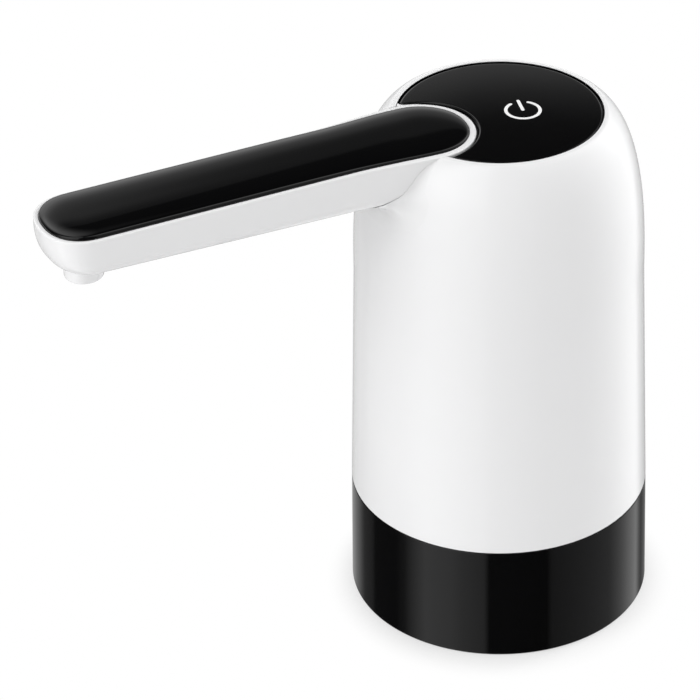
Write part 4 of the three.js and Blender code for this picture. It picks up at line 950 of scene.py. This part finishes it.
def makeNozzle(size):
    edge, soft, foot = size["edge"], size["boreEdge"], size["foot"]
    profile = [(0, foot + size["depth"]), (size["bore"], foot + size["depth"])]
    for a in roundOver(0, 90, size["boreSteps"]):
        profile.append((size["bore"] + soft - soft * math.cos(a), foot + soft - soft * math.sin(a)))
    for a in roundOver(0, 90, size["edgeSteps"]):
        profile.append((size["radius"] - edge + edge * math.sin(a), foot + edge - edge * math.cos(a)))
    profile += [(size["radius"], size["head"]), (0, size["head"])]
    thing = asObject(revolved(profile, size["steps"], x=size["x"]), "nozzleTip")
    return finished(thing, "housing", "white_shell", white, "nozzle")


makeNozzle(nozzle)
print("nozzle made")


keptFinishes = {
    "chassis_grey": moulded("chassisGrey", (0.56, 0.57, 0.58), 0.42, shift=0.04, grain=0.01),
    "dark_plastic": moulded("darkPlastic", (0.045, 0.047, 0.052), 0.46, shift=0.12, grain=0.012),
    "white_plastic": moulded("whitePlastic", (0.78, 0.78, 0.75), 0.38, shift=0.03, grain=0.008),
    "silicone": moulded("silicone", (0.62, 0.65, 0.65), 0.5, shift=0.05, grain=0.01),
    "foam": moulded("foam", (0.03, 0.03, 0.031), 0.85, shift=0.3, grain=0.06, grainScale=1400),
    "bright_steel": moulded("brightSteel", (0.62, 0.63, 0.65), 0.28, shift=0.05, grain=0.004, metal=1.0),
    "core_steel": moulded("coreSteel", (0.3, 0.31, 0.33), 0.45, shift=0.08, grain=0.008, metal=1.0),
    "copper": moulded("copper", (0.6, 0.26, 0.1), 0.34, shift=0.1, grain=0.008, metal=1.0),
    "bush_brass": moulded("bushBrass", (0.6, 0.42, 0.14), 0.36, shift=0.08, grain=0.006, metal=1.0),
    "magnet": moulded("ferrite", (0.05, 0.05, 0.052), 0.62, shift=0.2, grain=0.02),
    "cell_wrap": moulded("cellWrap", (0.05, 0.18, 0.42), 0.35, shift=0.04, ripple=0.01),
    "board": moulded("solderMask", (0.02, 0.12, 0.05), 0.38, shift=0.15, grain=0.01),
    "lamp": moulded("lampEpoxy", (0.9, 0.9, 0.85), 0.2, shift=0.02),
    "red_lead": moulded("redLead", (0.5, 0.02, 0.02), 0.45, shift=0.08),
    "black_lead": moulded("blackLead", (0.02, 0.02, 0.02), 0.45, shift=0.15),
    "white_shell": white,
    "black_collar": blackCollar,
    "black_cover": blackCover,
    "black_key": blackKey,
    "symbol_white": symbolWhite,
}

slotOf = {part["node"]: part["material_slot"] for part in frame["record"]["subparts"]}
for name, node in frame["nodes"].items():
    node.data.materials.clear()
    node.data.materials.append(keptFinishes[slotOf[name]])
print("kept pieces finished")


studio = {
    "floor": -(neckSeat + 0.02) * mm,  # a hair below the foot
    "floorSize": 4,  # metres to each side
    "floorColour": 0.96,
    "floorRoughness": 0.9,
    "glowNear": 0.42,  # share of plain white that the camera sees beside the foot
    "glowShift": (-1.4, -3.2, 0.0),
    "glowFrom": 33.0,
    "glowTo": 44.0,  # from this far out the floor is plain white to the camera
    "sky": 0.67,
    "overhead": 1.0,  # how much brighter the soft boxes are higher up
    "cameraSide": 114.8,  # degrees that turn the camera's side of the object to the middle of the strips
    "strips": [  # soft boxes: share of a turn round the set, brightness
        (0.0, 0.45), (0.06, 0.45), (0.1, 0.33), (0.13, 0.12), (0.165, 0.1), (0.18, 0.03), (0.25, 0.03),
        (0.275, 0.1), (0.298, 0.35), (0.33, 0.7), (0.36, 0.67), (0.39, 0.63), (0.415, 0.5), (0.442, 0.42),
        (0.462, 0.36), (0.472, 0.04), (0.598, 0.03), (0.61, 0.15), (0.66, 0.2), (0.72, 0.25), (0.76, 0.28),
        (0.8, 0.5), (0.83, 0.7), (0.87, 0.8), (0.89, 0.3), (0.905, 0.13), (0.94, 0.2), (1.0, 0.45),
    ],
    "tipWay": (-0.107, 0.606, 0.788),  # towards a soft light that shows in the end of the arm
    "tipFrom": 0.9,
    "tipTo": 0.99,
    "tipLevel": 0.75,
    "edgeHeight": 30.6,
    "edgeSlope": 0.72,
    "edgeLevelFrom": 2.2,  # degrees to the right, from where the dark edge of the back wall runs level
    "back": [  # the back wall: degrees over its edge, brightness
        (-60, 0.3), (-30, 1.0), (-14, 0.9), (-10, 0.62), (-7, 0.38), (-4, 0.25), (-3, 0.17), (-2.4, 0.12),
        (-1.5, 0.085), (-0.2, 0.076), (0.0, 0.022), (30, 0.02),
    ],
    "backLow": 60,  # degrees below the edge where these stops begin
    "backSpan": 90,
    "liftFrom": 8,  # degrees of height over which the wall takes the place of the strips
    "liftLength": 12,
    "wallSide": 5,  # degrees from the camera's axis to the middle of the wall
    "wallFull": 1.4,
    "wallFade": 32,
    "overheadLength": 14,
    "lamps": {
        "leftLamp": {"side": -67, "height": 20, "power": 4.9, "width": 0.5, "length": 0.9},
        "rightLamp": {"side": 84, "height": 15, "power": 0.9, "width": 0.5, "length": 0.9},
        "edgeLamp": {"side": 125, "height": 8, "power": 11.5, "width": 0.4, "length": 0.9},
        "topLamp": {"side": 0, "height": 80, "power": 3.3, "width": 0.8, "length": 0.8},
    },
    "lampDistance": 1.2,
    "lampAim": (0, 0, 0.05),
}


def lampAround(name, lamp):
    data = bpy.data.lights.new(name, "AREA")
    data.shape = "RECTANGLE"
    data.size, data.size_y = lamp["width"], lamp["length"]
    data.energy = lamp["power"]
    thing = bpy.data.objects.new(name, data)
    side = math.radians(lamp["side"] - studio["cameraSide"])
    height = math.radians(lamp["height"])
    aim = Vector(studio["lampAim"])
    level = math.cos(height)
    away = Vector((math.cos(side) * level, math.sin(side) * level, math.sin(height)))
    turn = away.to_track_quat("Z", "Y").to_matrix().to_4x4()
    thing.matrix_world = Matrix.Translation(aim + away * studio["lampDistance"]) @ turn
    thing.visible_glossy = False
    scene.collection.objects.link(thing)


def makeFloor():
    material, shader, place = newMaterial("paperFloor")
    tree = place.tree
    shader.inputs["Base Color"].default_value = (*[studio["floorColour"]] * 3, 1)
    shader.inputs["Roughness"].default_value = studio["floorRoughness"]
    shader.inputs["Specular IOR Level"].default_value = 0.0
    seen = place.node("LightPath", out="Is Camera Ray")
    middle = tuple(v * mm for v in studio["glowShift"])
    away = place.node("VectorMath", {"operation": "DISTANCE"}, {0: place, 1: middle}, out="Value")
    share = place.node("MapRange", {"interpolation_type": "SMOOTHSTEP"}, {
        "Value": away, "From Min": studio["glowFrom"] * mm, "From Max": studio["glowTo"] * mm,
        "To Min": studio["glowNear"], "To Max": 1.0})
    blend = place.node("MixShader", sockets={
        0: seen * share, 1: Signal(tree, shader.outputs[0]), 2: place.node("Emission")})
    blend.feeds(tree.nodes["Material Output"], "Surface")
    bm = bmesh.new()
    bmesh.ops.create_grid(bm, x_segments=1, y_segments=1, size=studio["floorSize"])
    mesh = bpy.data.meshes.new("paperFloor")
    bm.to_mesh(mesh)
    bm.free()
    mesh.materials.append(material)
    floor = bpy.data.objects.new("paperFloor", mesh)
    floor.location = (0, 0, studio["floor"])
    floor.visible_glossy = False
    scene.collection.objects.link(floor)


# Plain light for what is matt; what is glossy sees soft boxes round the set and a bright back wall
def makeWorld():
    world = bpy.data.worlds.new("studioWorld")
    world.use_nodes = True
    scene.world = world
    tree = world.node_tree
    way = Signal(tree, None).node("TexCoord", out="Generated")
    turned = way.node("VectorRotate", {"rotation_type": "Z_AXIS"}, {
        "Vector": way, "Angle": math.radians(studio["cameraSide"])})
    split = turned.node("SeparateXYZ", sockets={0: turned}).socket.node
    x, y, z = (Signal(tree, split.outputs[name]) for name in "XYZ")
    around = y.maths("ARCTAN2", y, x) * (1 / math.tau) + 0.5
    strips = around.node("ValToRGB", {"stops": studio["strips"]}, {0: around})
    behind = y.maths("ARCTAN2", y * -1, x * -1) * math.degrees(1)
    height = z.maths("ARCSINE", z) * math.degrees(1)
    edge = behind.maths("MAXIMUM", behind, -studio["edgeLevelFrom"]) * studio["edgeSlope"]
    edge = edge + studio["edgeHeight"]
    low, span = studio["backLow"], studio["backSpan"]
    back = [((degrees + low) / span, level) for degrees, level in studio["back"]]
    upper = edge.node("ValToRGB", {"stops": back}, {0: (height - edge + low) * (1 / span)})
    lift = height.maths("DIVIDE", height - studio["liftFrom"], studio["liftLength"], clamp=True)
    beside = behind.maths("ABSOLUTE", behind + studio["wallSide"]) * (1 / studio["wallFade"])
    wall = lift * height.maths("SUBTRACT", studio["wallFull"], beside, clamp=True)
    higher = height.maths("DIVIDE", height, studio["overheadLength"], clamp=True) * studio["overhead"] + 1
    boxes = mixed(wall, strips, upper) * (higher * (1 - wall) + wall)
    toTip = way.node("VectorMath", {"operation": "DOT_PRODUCT"}, {0: way, 1: studio["tipWay"]},
                     out="Value")
    boxes = boxes + toTip.node("MapRange", {"interpolation_type": "SMOOTHSTEP"}, {
        "Value": toTip, "From Min": studio["tipFrom"], "From Max": studio["tipTo"],
        "To Min": 0.0, "To Max": studio["tipLevel"]})
    seen = way.node("LightPath", out="Is Camera Ray")
    gloss = way.node("LightPath", out="Is Glossy Ray")
    plain = seen * (1 - studio["sky"]) + studio["sky"]
    level = plain * (1 - gloss) + boxes * gloss
    level.feeds(tree.nodes["Background"], "Strength")
    tree.nodes["Background"].inputs["Color"].default_value = (1, 1, 1, 1)


makeFloor()
makeWorld()
for lampName, lamp in studio["lamps"].items():
    lampAround(lampName, lamp)
print("studio made")
